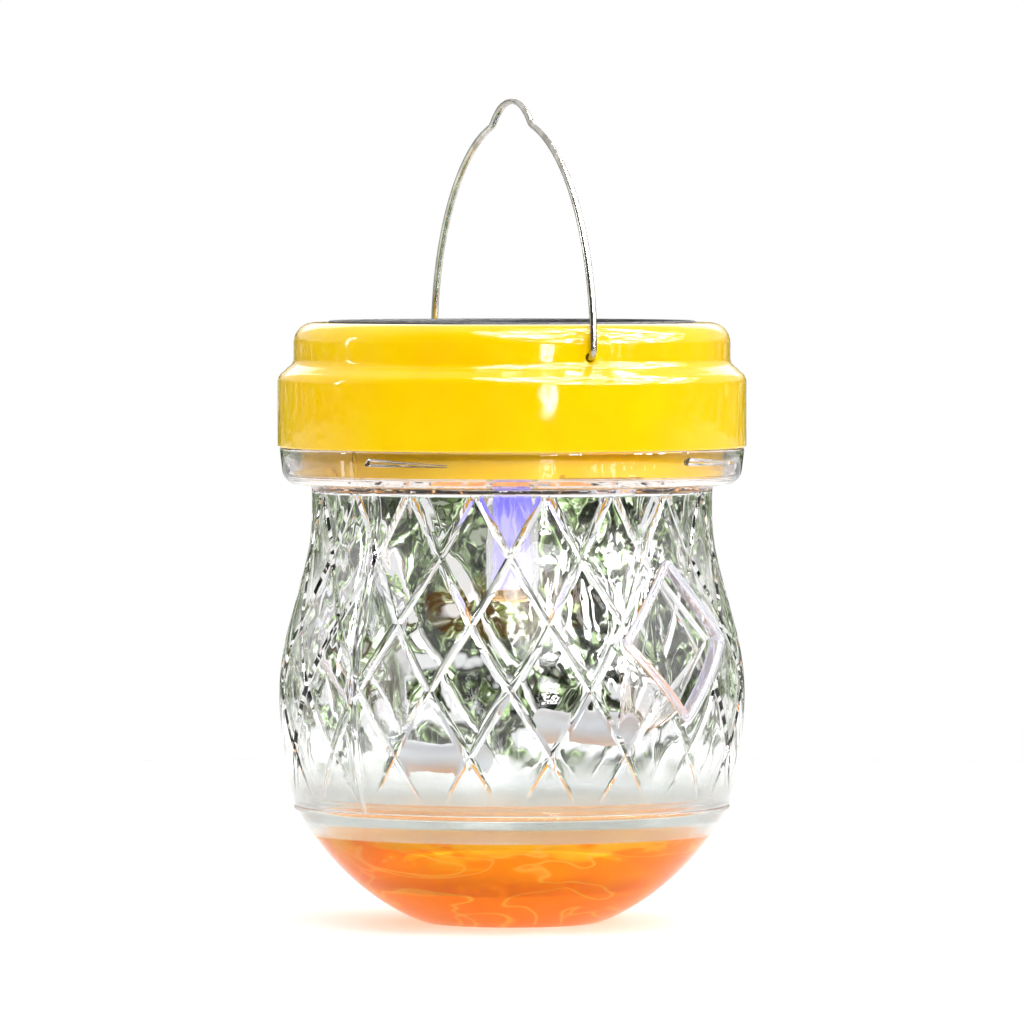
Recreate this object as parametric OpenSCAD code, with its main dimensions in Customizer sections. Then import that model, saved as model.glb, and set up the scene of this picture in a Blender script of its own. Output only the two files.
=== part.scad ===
/* [Jar] */
// Widest radius of the clear jar body
belly_r = 52.2; // [50:0.1:56]
// Height of the widest ring above the base
belly_z = 52; // [50:0.5:54]
// Radius of the neck under the collar
neck_r = 44.9; // [44.5:0.1:46]
// Height at which the body has narrowed to the neck
neck_z = 92; // [88:0.5:94]
// Radius of the sphere that the bowl is cut from
bowl_r = 54; // [53:0.1:56]
// Height of that sphere's centre above the base
bowl_centre_z = 50; // [49.5:0.1:50.5]
// Height of the line where the bowl is welded to the two half shells
joint_z = 26.4; // [25:0.1:28]
// Thickness of the jar's walls
jar_wall = 2.2; // [1.8:0.1:2.6]
// Outer radius of the collar that takes the lid
collar_r = 51.6; // [51.2:0.1:53]
// Height of the collar's top edge
collar_top_z = 106.3; // [105.5:0.1:106.5]

/* [Bait] */
// Height of the liquid bait's surface
bait_z = 19.2; // [8:0.1:22]

/* [Entries] */
// Half width of the raised lozenge frame round an entry
frame_half_w = 17; // [15:0.1:18]
// Half height of the raised lozenge frame
frame_half_h = 18.5; // [16:0.1:19]
// Height of the middle of the lozenge
frame_z = 64.4; // [62:0.1:65]
// Height of the level tunnel that the front funnel narrows to
front_tunnel_z = 44.4; // [42:0.1:45]
// Height of the level tunnel that the back funnel narrows to
back_tunnel_z = 35.8; // [35:0.1:40]
// Radius of the tunnel's bore
tunnel_bore_r = 3.1; // [3:0.1:3.4]
// Distance from the jar's axis at which the tunnel opens
tunnel_end_r = 9.5; // [8:0.5:14]

/* [Lid] */
// Outer radius of the lid's skirt
skirt_r = 52.5; // [52.2:0.1:54]
// Outer radius of the lid's upper tier
tier_r = 48.9; // [48.6:0.1:49.2]
// Height of the top of the lid's rim
lid_top_z = 134.3; // [133.8:0.1:136]
// Height of the bottom edge of the skirt
skirt_z = 107.2; // [107:0.1:107.4]
// Thickness of the lid's walls
lid_wall = 1.8; // [1.6:0.1:2]

/* [Lamp and battery] */
// Outer radius of the clear light guide tube
guide_r = 6; // [5.5:0.1:6.5]
// Height of the lower end of the light guide
guide_z = 72.5; // [66:0.5:80]
// Diameter of the rechargeable cell
cell_d = 10.5; // [10:0.1:10.8]
// Length of the rechargeable cell
cell_len = 44.5; // [43:0.1:45]

/* [Bail] */
// Radius of the bail's wire
wire_r = 0.8; // [0.6:0.05:1]
// Radius of the bail's main arc
bail_r = 50.4; // [50.4:0.1:51.5]
// Height of the bail's pivots
pivot_z = 127.1; // [127:0.1:127.6]
// Height of the top of the hump over the pivots
hump_h = 56.8; // [56.2:0.1:60]
// Angle of the bail's pivot axis from the front of the jar
bail_angle = -26.8; // [-60:0.1:-10]

/* [Hidden] */
$fn = 96;

clear_plastic = [0.86, 0.9, 0.92, 0.45];
frosted_plastic = [0.9, 0.9, 0.93, 0.8];
lid_yellow = [1, 0.82, 0];
steel = [0.75, 0.76, 0.78];
black_plastic = [0.12, 0.12, 0.13];

skin = 0.05;                    // gap between faces that only lie against each other
fit = 0.08;                     // radial clearance of a pin that turns in its hole
profile_step = 4;               // height between the points of the jar's outline

// Bowl and its joint to the shells
base_r = sqrt(pow(bowl_r, 2) - pow(bowl_centre_z, 2));
bowl_wall = 2;
bowl_inner_r = bowl_r - bowl_wall;
bead_h = 1.1;                   // height of each of the two beads at the joint
bead_out = 0.55;                // how far a bead stands out of the wall
lip_h = 2.4;                    // height of the bowl's lip inside the shells
lip_wall = 1.3;

// Collar and bayonet
collar_wall = 2;
collar_z = 98.2;                // underside of the collar
collar_bore_r = collar_r - collar_wall;
ledge_drop = 2.2;               // from the bottom of the collar's bore to its underside, upwards
plug_r = 47.6;                  // outer radius of the lid's plug, inside the collar
plug_wall = 1.5;
plug_z = 100.4;                 // bottom edge of the plug
lug_r = collar_bore_r - 0.3;
ramp_r = plug_r + 0.3;
lug_z = 101;
lug_h = 1.8;
ramp_z = lug_z + lug_h + 0.3;
ramp_h = 1.8;
bayonet_count = 4;
bayonet_span = 23;              // degrees that each lug or ramp covers
bayonet_half = collar_r * sin(bayonet_span / 2);
wedge_tip = 0.35;               // height of a wedge's thin end as a share of its thick end
ramp_angle = -75.7;             // middle of the first ramp
lug_angle = -23.4;              // middle of the first lug

// Entries
bezel_out = 1.2;                // how far the lozenge frame stands out of the wall
bar_w = 2.4;                    // width of the frame's bars at its side corners
funnel_wall = 0.9;
funnel_tilt = 9.8;              // lean of the funnel's mouth, to follow the jar's wall
funnel_mouth_r = 46.1;          // to the middle of the mouth
funnel_throat_r = 35;
tunnel_wall = 0.6;
tunnel_bulb_wall = 0.9;
tunnel_lip_wall = 0.75;
tunnel_bulb_share = 0.25;       // of the tunnel's length

// Lid
shoulder_r = 4.5;
flare_top_z = 126.2;
flare_bottom_z = 121.4;
panel_bed_z = 131;              // top of the deck under the solar panel
deck_t = 1.8;
recess_r = 41.2;
gasket_wall = 1.2;
panel_r = recess_r - gasket_wall - skin;
board_t = 1;
cell_t = 0.3;
cell_w = 25.6;
cell_l = 52;
cell_gap = 1.2;
boss_r = 3;
boss_ring_r = 36;
boss_count = 3;
tray_z = 108;
tray_t = 2;
tray_r = plug_r - plug_wall - 0.2;
tray_top = tray_z + tray_t;
pilot_r = 1.1;
screw_r = 1.05;
screw_len = 11;
screw_head_r = 2.4;
screw_head_h = 1.5;
screw_hole_r = 1.4;

// Lamp
guide_bore_r = guide_r - 1.5;
guide_flange_r = 8;
guide_flange_h = 1.4;
collar_boss_r = 9;
collar_boss_h = 3;
led_r = 2.5;
led_flange_r = 2.9;
led_z = 112.4;
led_len = 8.6;
pcb_z = 122.4;
pcb_l = 42;
pcb_w = 20;
pcb_t = 1.2;
post_x = 17;
post_r = 2.6;
board_screw_len = 6;
board_screw_r = 0.95;
board_pilot_r = 1;

// Battery bay, over its door in the tray
cell_y = 24.5;
cell_z = 117;
door_l = 50;
door_w = 14;
door_t = 1.2;
door_gap = 0.2;
rib_t = 1.2;
contact_t = 0.6;
contact_x = cell_len / 2 + 2.4;
spring_t = 0.3;
spring_w = 6;
spring_half_h = 4;

// Switch
switch_x = -24;
switch_y = -14;
switch_l = 12;
switch_w = 6;
switch_h = 5;
switch_travel = 3;
knob_l = 3;
knob_w = 2.6;
slot_clear = 0.3;

// Leads
lead_r = 0.6;
lead_bend = 1.5;

// Bail
arc_drop = 2.5;                 // height of the main arc's centre over the pivots
hump_r = 16.5;
fillet_r = 4;
elbow_r = 1.9;
joint_swell = 0.03;
pin_end_r = 43.6;
bearing_r = 2.7;
bearing_in_r = 44.6;
hump_z = hump_h - hump_r;
fillet_z = (pow(bail_r + fillet_r, 2) - pow(hump_r + fillet_r, 2) + pow(hump_z, 2) - pow(arc_drop, 2))
    / (2 * (hump_z - arc_drop));
fillet_x = sqrt(pow(hump_r + fillet_r, 2) - pow(fillet_z - hump_z, 2));
arc_end = atan2(fillet_z - arc_drop, fillet_x);
hump_end = atan2(fillet_z - hump_z, fillet_x);

// Outer radius of the shells at a height: a round belly, then a soft S up to the neck
function belly_low_r(z) = belly_r - pow(belly_z - z, 2) / 182;
function belly_high_r(z) = (belly_r + neck_r) / 2
    + (belly_r - neck_r) / 2 * cos(180 * min(1, (z - belly_z) / (neck_z - belly_z)));
function shell_r(z) = z < belly_z ? belly_low_r(z) : belly_high_r(z);
function heights(low, high) = let (n = ceil((high - low) / profile_step))
    [for (i = [0:n]) low + (high - low) * i / n];
function wall_line(low, high, inset) = [for (z = heights(low, high)) [shell_r(z) - inset, z]];
function flipped(points) = [for (i = [len(points) - 1:-1:0]) points[i]];
function arc_points(cx, cy, r, from, to, n) = [for (i = [0:n])
    let (a = from + (to - from) * i / n) [cx + r * cos(a), cy + r * sin(a)]];

// Puts a shape built facing the front on one side of the jar: 0 is the front, 180 the back
module at_side(angle) {
    rotate([0, 0, angle]) children();
}

// A prism through the wall at the front whose outline is a lozenge round an entry's middle
module lozenge_prism(half_w, half_h, from_r, to_r) {
    translate([0, -from_r, frame_z])
        rotate([90, 0, 0])
            linear_extrude(height = to_r - from_r)
                polygon([[half_w, 0], [0, half_h], [-half_w, 0], [0, -half_h]]);
}

// A wedge on a ring, thick at one end: the bayonet's lugs and ramps. The middle is at an angle
// from the front, and the thick end is at the right with a side of 1 or at the left with -1
module bayonet_wedge(inner_r, outer_r, z, h, angle, side) {
    tall = bayonet_half + 1;
    rotate([0, 0, angle])
        intersection() {
            rotate([0, 0, 270 - bayonet_span / 2])
                rotate_extrude(angle = bayonet_span)
                    translate([inner_r, z]) square([outer_r - inner_r, h]);
            rotate([90, 0, 0])
                linear_extrude(height = outer_r + 2)
                    polygon([[-tall, z - 1], [tall, z - 1],
                        [tall, z + h * (side > 0 ? 1 : wedge_tip)],
                        [-tall, z + h * (side > 0 ? wedge_tip : 1)]]);
        }
}

function shell_outline() = concat(
    wall_line(joint_z + bead_h, neck_z, 0),
    [[neck_r, collar_z - 1.4]],
    [[neck_r + 0.4, collar_z - 0.5], [neck_r + 1.4, collar_z]],
    arc_points(collar_r - 3.4, collar_z + 2.8, 2.8, -90, 0, 8),
    [[collar_r, collar_top_z], [collar_bore_r, collar_top_z], [collar_bore_r, collar_z + ledge_drop]],
    [[neck_r - jar_wall, collar_z - 1.2]],
    flipped(wall_line(joint_z, neck_z, jar_wall)),
    [[shell_r(joint_z) + bead_out, joint_z], [shell_r(joint_z) + bead_out, joint_z + bead_h]]);

// Half of the jar's body, from the joint with the bowl to the top of the collar, with one entry
module jar_half() {
    difference() {
        rotate([0, 0, 180])
            rotate_extrude(angle = 180)
                polygon(shell_outline());
        lozenge_prism(frame_half_w - bar_w / 2, frame_half_h - bar_w / 2, 38, 60);
    }
    for (i = [0, 1])
        bayonet_wedge(ramp_r, collar_bore_r + 0.4, ramp_z, ramp_h, ramp_angle + 90 * i, -1);
}

module jar_half_front() {
    color(clear_plastic) at_side(0) jar_half();
}

module jar_half_back() {
    color(clear_plastic) at_side(180) jar_half();
}

// The round bowl under the shells, with a lip that the shells are welded round
module jar_bowl() {
    rim_r = sqrt(pow(bowl_r, 2) - pow(bowl_centre_z - joint_z + bead_h, 2));
    lip_r = shell_r(joint_z) - jar_wall - 2 * skin;
    floor_angle = -asin(bowl_centre_z / bowl_r);
    rim_angle = -asin((bowl_centre_z - joint_z + bead_h) / bowl_r);
    floor_inner = -asin((bowl_centre_z - bowl_wall) / bowl_inner_r);
    lip_inner = -acos((lip_r - lip_wall) / bowl_inner_r);
    color(clear_plastic)
        rotate_extrude()
            polygon(concat(
                [[0, 0]],
                arc_points(0, bowl_centre_z, bowl_r, floor_angle, rim_angle, 20),
                [[shell_r(joint_z) + bead_out, joint_z - bead_h]],
                [[shell_r(joint_z) + bead_out, joint_z - skin], [lip_r, joint_z - skin]],
                [[lip_r, joint_z + lip_h], [lip_r - lip_wall, joint_z + lip_h]],
                flipped(arc_points(0, bowl_centre_z, bowl_inner_r, floor_inner, lip_inner, 12)),
                [[0, bowl_wall]]));
}

// The sweet liquid that fills the bottom of the bowl
module bait_liquid() {
    pool_r = bowl_inner_r - skin;
    pool_floor = bowl_wall + skin;
    color([1, 0.55, 0.05, 0.85])
        rotate_extrude()
            polygon(concat(
                [[0, pool_floor]],
                arc_points(0, bowl_centre_z, pool_r, -asin((bowl_centre_z - pool_floor) / pool_r),
                    -asin((bowl_centre_z - bait_z) / pool_r), 10),
                [[0, bait_z]]));
}

// Raised lozenge round an entry: a bezel on the wall and a stem through the hole in it
module entry_frame() {
    hole_w = frame_half_w - bar_w / 2 - skin * 2;
    hole_h = frame_half_h - bar_w / 2 - skin * 2;
    low = frame_z - frame_half_h - 2;
    high = frame_z + frame_half_h + 2;
    color(clear_plastic)
        difference() {
            union() {
                intersection() {
                    lozenge_prism(frame_half_w, frame_half_h, 38, 60);
                    rotate_extrude()
                        polygon(concat(wall_line(low, high, -bezel_out), flipped(wall_line(low, high, -skin))));
                }
                intersection() {
                    lozenge_prism(hole_w, hole_h, 38, 60);
                    rotate_extrude()
                        polygon(concat(wall_line(low, high, -2 * skin), flipped(wall_line(low, high, jar_wall))));
                }
            }
            lozenge_prism(frame_half_w - bar_w, frame_half_h - bar_w, 30, 60);
        }
}

module entry_frame_front() {
    at_side(0) entry_frame();
}

module entry_frame_back() {
    at_side(180) entry_frame();
}

// One skin of the funnel: a leaning lozenge mouth that narrows to a round throat
module funnel_skin(tunnel_z, inset, mouth_shift, throat_shift) {
    half_w = frame_half_w - bar_w - inset;
    half_h = frame_half_h - bar_w - inset;
    hull() {
        translate([0, -funnel_mouth_r - mouth_shift, frame_z])
            rotate([90 - funnel_tilt, 0, 0])
                linear_extrude(height = 0.4)
                    polygon([[half_w, 0], [0, half_h], [-half_w, 0], [0, -half_h]]);
        translate([0, -funnel_throat_r + throat_shift, tunnel_z])
            rotate([90, 0, 0])
                cylinder(r = tunnel_bore_r + funnel_wall - inset + 0.1, h = 1, $fn = 32);
    }
}

module entry_funnel(tunnel_z) {
    color(clear_plastic)
        difference() {
            funnel_skin(tunnel_z, 0.15, 0, 0);
            funnel_skin(tunnel_z, 0.15 + funnel_wall, 0.5, 0.5);
            translate([0, -funnel_throat_r - 2, tunnel_z])
                rotate([90, 0, 0])
                    cylinder(r = tunnel_bore_r, h = 8, center = true);
        }
}

module entry_funnel_front() {
    at_side(0) entry_funnel(front_tunnel_z);
}

module entry_funnel_back() {
    at_side(180) entry_funnel(back_tunnel_z);
}

// Frosted tunnel from the funnel's throat to the middle of the jar, with a bulb in it
module entry_tunnel(tunnel_z) {
    start_r = funnel_throat_r - skin;
    len_all = start_r - tunnel_end_r;
    bulb_len = len_all * tunnel_bulb_share;
    lip_len = 2;
    outer = tunnel_bore_r + tunnel_wall;
    bulb = tunnel_bore_r + tunnel_bulb_wall;
    lip = tunnel_bore_r + tunnel_lip_wall;
    color(frosted_plastic)
        translate([0, -start_r, tunnel_z])
            rotate([-90, 0, 0])
                rotate_extrude()
                    polygon([
                        [tunnel_bore_r, 0], [bulb, 0], [bulb, bulb_len], [outer, bulb_len + 2.5],
                        [outer, len_all - lip_len - 1], [lip, len_all - lip_len], [lip, len_all],
                        [tunnel_bore_r, len_all]]);
}

module entry_tunnel_front() {
    at_side(0) entry_tunnel(front_tunnel_z);
}

module entry_tunnel_back() {
    at_side(180) entry_tunnel(back_tunnel_z);
}

// Flat ring between the lid and the top of the collar
module lid_seal() {
    color([0.92, 0.92, 0.9])
        rotate_extrude()
            polygon([
                [plug_r + 0.4, collar_top_z + skin], [collar_r - 0.6, collar_top_z + skin],
                [collar_r - 0.6, skirt_z - skin], [plug_r + 0.4, skirt_z - skin]]);
}

function lid_outline() = concat(
    [[plug_r, skirt_z], [skirt_r - 0.5, skirt_z], [skirt_r, skirt_z + 0.5]],
    arc_points(skirt_r - 1.4, flare_bottom_z - 0.2, 1.4, 0, 60, 5),
    arc_points(tier_r + 1.6, flare_top_z, 1.6, 250, 180, 5),
    arc_points(tier_r - shoulder_r, lid_top_z - shoulder_r, shoulder_r, 0, 90, 10),
    [[recess_r, lid_top_z], [recess_r, panel_bed_z], [0, panel_bed_z]],
    [[0, panel_bed_z - deck_t], [tier_r - lid_wall - 0.9, panel_bed_z - deck_t]],
    [[tier_r - lid_wall, panel_bed_z - deck_t - 0.9], [tier_r - lid_wall, flare_top_z - 0.6]],
    [[skirt_r - lid_wall, flare_bottom_z - 0.6], [skirt_r - lid_wall, skirt_z + lid_wall]],
    [[plug_r - plug_wall, skirt_z + lid_wall], [plug_r - plug_wall, plug_z], [plug_r, plug_z]]);

// Yellow lid: skirt, tier and rim outside, and a plug with bayonet lugs that goes inside the collar
module lid_shell() {
    color(lid_yellow) {
        difference() {
            union() {
                rotate_extrude() polygon(lid_outline());
                for (i = [0:boss_count - 1])
                    rotate([0, 0, 360 / boss_count * i])
                        translate([0, -boss_ring_r, tray_top + skin])
                            cylinder(r = boss_r, h = panel_bed_z - deck_t - tray_top);
                for (side = [0, 180])
                    rotate([0, 0, bail_angle + side])
                        translate([0, -bearing_in_r, pivot_z])
                            rotate([90, 0, 0])
                                cylinder(r = bearing_r - 0.6, h = tier_r - bearing_in_r - 0.6);
            }
            for (side = [0, 180])
                rotate([0, 0, bail_angle + side])
                    translate([0, -bearing_in_r + 1, pivot_z])
                        rotate([90, 0, 0])
                            cylinder(r = wire_r + fit, h = 10);
            for (i = [0:boss_count - 1])
                rotate([0, 0, 360 / boss_count * i])
                    translate([0, -boss_ring_r, tray_top - 1])
                        cylinder(r = pilot_r, h = screw_len + 1.5);
            translate([0, 12, panel_bed_z - deck_t - 1])
                cylinder(r = 2, h = deck_t + 2);
        }
        for (i = [0:bayonet_count - 1])
            bayonet_wedge(plug_r - 0.4, lug_r, lug_z, lug_h, lug_angle + 90 * i, 1);
    }
}

// Black ring that seals the solar panel in the rim
module panel_gasket() {
    color(black_plastic)
        rotate_extrude()
            polygon([
                [recess_r - gasket_wall, panel_bed_z + skin], [recess_r - skin, panel_bed_z + skin],
                [recess_r - skin, lid_top_z - 0.1], [recess_r - gasket_wall, lid_top_z - 0.1]]);
}

// Round board that carries the solar cells
module panel_board() {
    color("darkgreen")
        translate([0, 0, panel_bed_z + skin])
            difference() {
                cylinder(r = panel_r, h = board_t);
                translate([0, 12, -1]) cylinder(r = 2, h = board_t + 2);
            }
}

// Two dark cells side by side
module solar_cells() {
    color([0.08, 0.1, 0.3])
        for (side = [-1, 1])
            translate([side * (cell_w + cell_gap) / 2 - cell_w / 2, -cell_l / 2, panel_bed_z + board_t + 2 * skin])
                cube([cell_w, cell_l, cell_t]);
}

// Clear cast cover over the cells
module panel_cover() {
    cover_z = panel_bed_z + board_t + 2 * skin;
    color([0.8, 0.85, 0.9, 0.4])
        difference() {
            translate([0, 0, cover_z]) cylinder(r = panel_r, h = lid_top_z - 0.5 - cover_z);
            for (side = [-1, 1])
                translate([
                    side * (cell_w + cell_gap) / 2 - cell_w / 2 - skin, -cell_l / 2 - skin, cover_z - 1])
                    cube([cell_w + 2 * skin, cell_l + 2 * skin, cell_t + 1 + skin]);
        }
}

// Circuit board over the lamp, on two posts of the tray
module circuit_board() {
    color("green")
        difference() {
            translate([-pcb_l / 2, -pcb_w / 2, pcb_z]) cube([pcb_l, pcb_w, pcb_t]);
            for (side = [-1, 1])
                translate([side * post_x, 0, pcb_z - 1]) cylinder(r = screw_hole_r - 0.2, h = pcb_t + 2);
        }
}

// Charge controller, coil and capacitor on top of the circuit board
module board_parts() {
    top = pcb_z + pcb_t + skin;
    color("dimgray") {
        translate([-10, 2, top]) cube([5, 4, 1.5]);
        translate([4, -6, top]) cylinder(r = 2.6, h = 3.4);
        translate([9, 6, top]) cylinder(r = 2, h = 4.2);
        translate([-8, -7, top]) cube([2, 1.2, 0.7]);
        translate([-3, -7, top]) cube([2, 1.2, 0.7]);
        translate([-1, 5, top]) cube([2, 1.2, 0.7]);
    }
}

// A pan head screw with its head down and its shank up
module pan_screw(head_r, head_h, shank_r, shank_len) {
    difference() {
        union() {
            cylinder(r = head_r, h = head_h);
            translate([0, 0, head_h]) cylinder(r = shank_r, h = shank_len - 1);
            translate([0, 0, head_h + shank_len - 1]) cylinder(r1 = shank_r, r2 = shank_r * 0.3, h = 1);
        }
        for (turn = [0, 90])
            rotate([0, 0, turn])
                translate([-head_r * 0.6, -0.3, -0.1]) cube([head_r * 1.2, 0.6, head_h * 0.5 + 0.1]);
    }
}

module board_screws() {
    color(steel)
        for (side = [-1, 1])
            translate([side * post_x, 0, pcb_z + pcb_t + 1.3 + skin])
                mirror([0, 0, 1]) pan_screw(1.9, 1.3, board_screw_r, board_screw_len);
}

// Violet lamp that shines down into the light guide
module uv_led() {
    color([0.6, 0.5, 1, 0.9]) {
        translate([0, 0, led_z + led_len - 1]) cylinder(r = led_flange_r, h = 1);
        translate([0, 0, led_z + led_r]) cylinder(r = led_r, h = led_len - led_r - 0.5);
        intersection() {
            translate([0, 0, led_z + led_r]) sphere(r = led_r);
            translate([-led_r, -led_r, led_z]) cube([2 * led_r, 2 * led_r, led_r + 0.2]);
        }
        for (side = [-1.27, 1.27])
            translate([side, 0, led_z + led_len - 0.2]) cylinder(r = 0.25, h = pcb_z - led_z - led_len + 0.15);
    }
}

// Clear tube that hangs from the tray into the jar
module light_guide() {
    guide_top = tray_top + 0.6 + guide_flange_h;
    color([0.85, 0.8, 0.95, 0.5])
        rotate_extrude()
            polygon([
                [guide_bore_r, guide_z], [guide_r, guide_z], [guide_r, guide_top - guide_flange_h],
                [guide_flange_r, guide_top - guide_flange_h], [guide_flange_r, guide_top],
                [guide_bore_r, guide_top]]);
}

// Frosted rod that spreads the violet light down the tube
module diffuser_rod() {
    rod_r = guide_bore_r - 0.3;
    color([0.55, 0.5, 1, 0.8])
        translate([0, 0, guide_z + 2.4])
            cylinder(r = rod_r, h = led_z - 0.6 - guide_z - 2.4);
}

// Plug that closes the tube's lower end
module guide_cap() {
    color([0.95, 0.75, 0.45, 0.7])
        rotate_extrude()
            polygon([
                [0, guide_z - 0.8], [guide_r, guide_z - 0.8], [guide_r, guide_z - skin],
                [guide_bore_r - skin, guide_z - skin], [guide_bore_r - skin, guide_z + 2.2], [0, guide_z + 2.2]]);
}

// Floor of the lid: holds the light guide, the circuit board, the battery and the switch
module lid_tray() {
    color(lid_yellow)
        difference() {
            union() {
                translate([0, 0, tray_z]) cylinder(r = tray_r, h = tray_t);
                translate([0, 0, tray_top + 0.6 - collar_boss_h]) cylinder(r = collar_boss_r + 1, h = collar_boss_h);
                for (side = [-1, 1])
                    translate([side * post_x, 0, tray_top - 0.5])
                        cylinder(r = post_r, h = pcb_z - skin - tray_top + 0.5);
                for (side = [-1, 1])
                    translate([side * (contact_x + 1.4) - rib_t / 2, cell_y - 6, tray_top - 0.5])
                        cube([rib_t, 12, 10]);
            }
            translate([0, 0, tray_z - 5]) cylinder(r = guide_r + 0.1, h = 20);
            for (i = [0:boss_count - 1])
                rotate([0, 0, 360 / boss_count * i])
                    translate([0, -boss_ring_r, tray_z - 1]) {
                        cylinder(r = screw_hole_r, h = 10);
                        cylinder(r = screw_head_r + 0.2, h = 1.8);
                    }
            for (side = [-1, 1])
                translate([side * post_x, 0, pcb_z - board_screw_len - 0.5])
                    cylinder(r = board_pilot_r, h = 10);
            translate([-door_l / 2 - door_gap, cell_y - door_w / 2 - door_gap, tray_z - 1])
                cube([door_l + 2 * door_gap, door_w + 2 * door_gap, door_t + 1]);
            translate([-cell_len / 2, cell_y - cell_d / 2, tray_z - 1])
                cube([cell_len, cell_d, tray_t + 2]);
            translate([switch_x - knob_l / 2 - slot_clear, switch_y - knob_w / 2 - slot_clear, tray_z - 1])
                cube([knob_l + switch_travel + 2 * slot_clear, knob_w + 2 * slot_clear, tray_t + 2]);
        }
}

module tray_screws() {
    color(steel)
        for (i = [0:boss_count - 1])
            rotate([0, 0, 360 / boss_count * i])
                translate([0, -boss_ring_r, tray_z + 0.8 - screw_head_h - skin])
                    pan_screw(screw_head_r, screw_head_h, screw_r, screw_len);
}

// Rechargeable cell, lying across the lid behind the lamp
module battery() {
    color("seagreen")
        translate([-cell_len / 2, cell_y, cell_z])
            rotate([0, 90, 0]) {
                cylinder(r = cell_d / 2, h = cell_len - 1);
                translate([0, 0, cell_len - 1]) cylinder(r = cell_d / 5, h = 1);
            }
}

// Bowed spring strip that presses on the cell's flat end
module contact_spring() {
    rise = contact_x - cell_len / 2 - 2 * skin;
    bow_r = (spring_half_h * spring_half_h + rise * rise) / (2 * rise);
    color(steel)
        translate([-cell_len / 2 - skin - bow_r, cell_y + spring_w / 2, cell_z])
            rotate([90, 0, 0])
                linear_extrude(spring_w)
                    intersection() {
                        difference() {
                            circle(r = bow_r);
                            circle(r = bow_r - spring_t);
                        }
                        translate([bow_r - rise, -spring_half_h])
                            square([rise, 2 * spring_half_h]);
                    }
}

// Flat contacts at both ends of the cell
module contact_plate() {
    color(steel)
        for (side = [-1, 1])
            translate([side * (contact_x + contact_t / 2) - contact_t / 2, cell_y - 4.5, tray_top + 0.6])
                cube([contact_t, 9, 11]);
}

// Door of the battery bay, flush with the underside of the tray
module battery_cover() {
    color(lid_yellow)
        difference() {
            translate([-door_l / 2, cell_y - door_w / 2, tray_z]) cube([door_l, door_w, door_t - skin]);
            translate([door_l / 2 - 1.8, cell_y, tray_z - 1]) cylinder(r = 1.3, h = 4);
        }
}

module cover_screw() {
    color(steel)
        translate([door_l / 2 - 1.8, cell_y, tray_z - 1.1 - skin])
            pan_screw(1.9, 1.1, 0.9, door_t);
}

// Slide switch on top of the tray
module switch_housing() {
    color(black_plastic)
        difference() {
            translate([switch_x - switch_l / 2 + switch_travel / 2, switch_y - switch_w / 2, tray_top + skin])
                cube([switch_l, switch_w, switch_h]);
            translate([switch_x - knob_l / 2 - slot_clear, switch_y - knob_w / 2 - slot_clear, tray_top - 1])
                cube([knob_l + switch_travel + 2 * slot_clear, knob_w + 2 * slot_clear, switch_h - 0.6]);
        }
}

// Knob that slides along the slot in the tray
module switch_knob() {
    color("white")
        translate([switch_x - knob_l / 2, switch_y - knob_w / 2, tray_z - 1])
            cube([knob_l, knob_w, tray_t + 3.6]);
}

// A stretch of round wire along an arc in the XY plane
module wire_arc(thick_r, cx, cy, r, from, to) {
    translate([cx, cy, 0])
        rotate([0, 0, from])
            rotate_extrude(angle = to - from) translate([r, 0]) circle(r = thick_r, $fn = 24);
}

// A lead that rises, steps sideways through two bends and rises again to its height
module stepped_lead(height, angle) {
    rise = (height - 2 * lead_bend) / 2;
    rotate([0, 0, angle]) {
        cylinder(r = lead_r, h = rise);
        rotate([90, 0, 0]) {
            wire_arc(lead_r, lead_bend, rise, lead_bend, 90, 180);
            wire_arc(lead_r, lead_bend, rise + 2 * lead_bend, lead_bend, -90, 0);
        }
        translate([2 * lead_bend, 0, rise + 2 * lead_bend]) cylinder(r = lead_r, h = rise);
    }
}

// A lead that rises and bends over to run level
module hooked_lead(height, run, angle) {
    rotate([0, 0, angle]) {
        cylinder(r = lead_r, h = height - lead_bend);
        rotate([90, 0, 0]) wire_arc(lead_r, lead_bend, height - lead_bend, lead_bend, 90, 180);
        translate([lead_bend, 0, height]) rotate([0, 90, 0]) cylinder(r = lead_r, h = run);
    }
}

// Leads from the circuit board up to the solar panel
module panel_wires() {
    lead_z = pcb_z + pcb_t + skin;
    for (side = [-1, 1])
        color(side > 0 ? "red" : "black")
            translate([side * 0.9, 12 - 2 * lead_bend, lead_z])
                stepped_lead(panel_bed_z + board_t - lead_z, 90);
}

// Leads from the battery's contacts to the circuit board
module battery_wires() {
    lead_z = tray_top + skin;
    for (side = [-1, 1])
        color(side > 0 ? "red" : "black")
            translate([side * (contact_x - 1), cell_y - 7.5, lead_z])
                hooked_lead(pcb_z + pcb_t / 2 - lead_z, contact_x - 1 - pcb_l / 2 - lead_bend - skin, 90 + side * 90);
}

// A slight ball where two arcs of the wire meet, so that they join as one solid
module wire_joint(x, y) {
    translate([x, y, 0]) sphere(r = wire_r + joint_swell);
}

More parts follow.
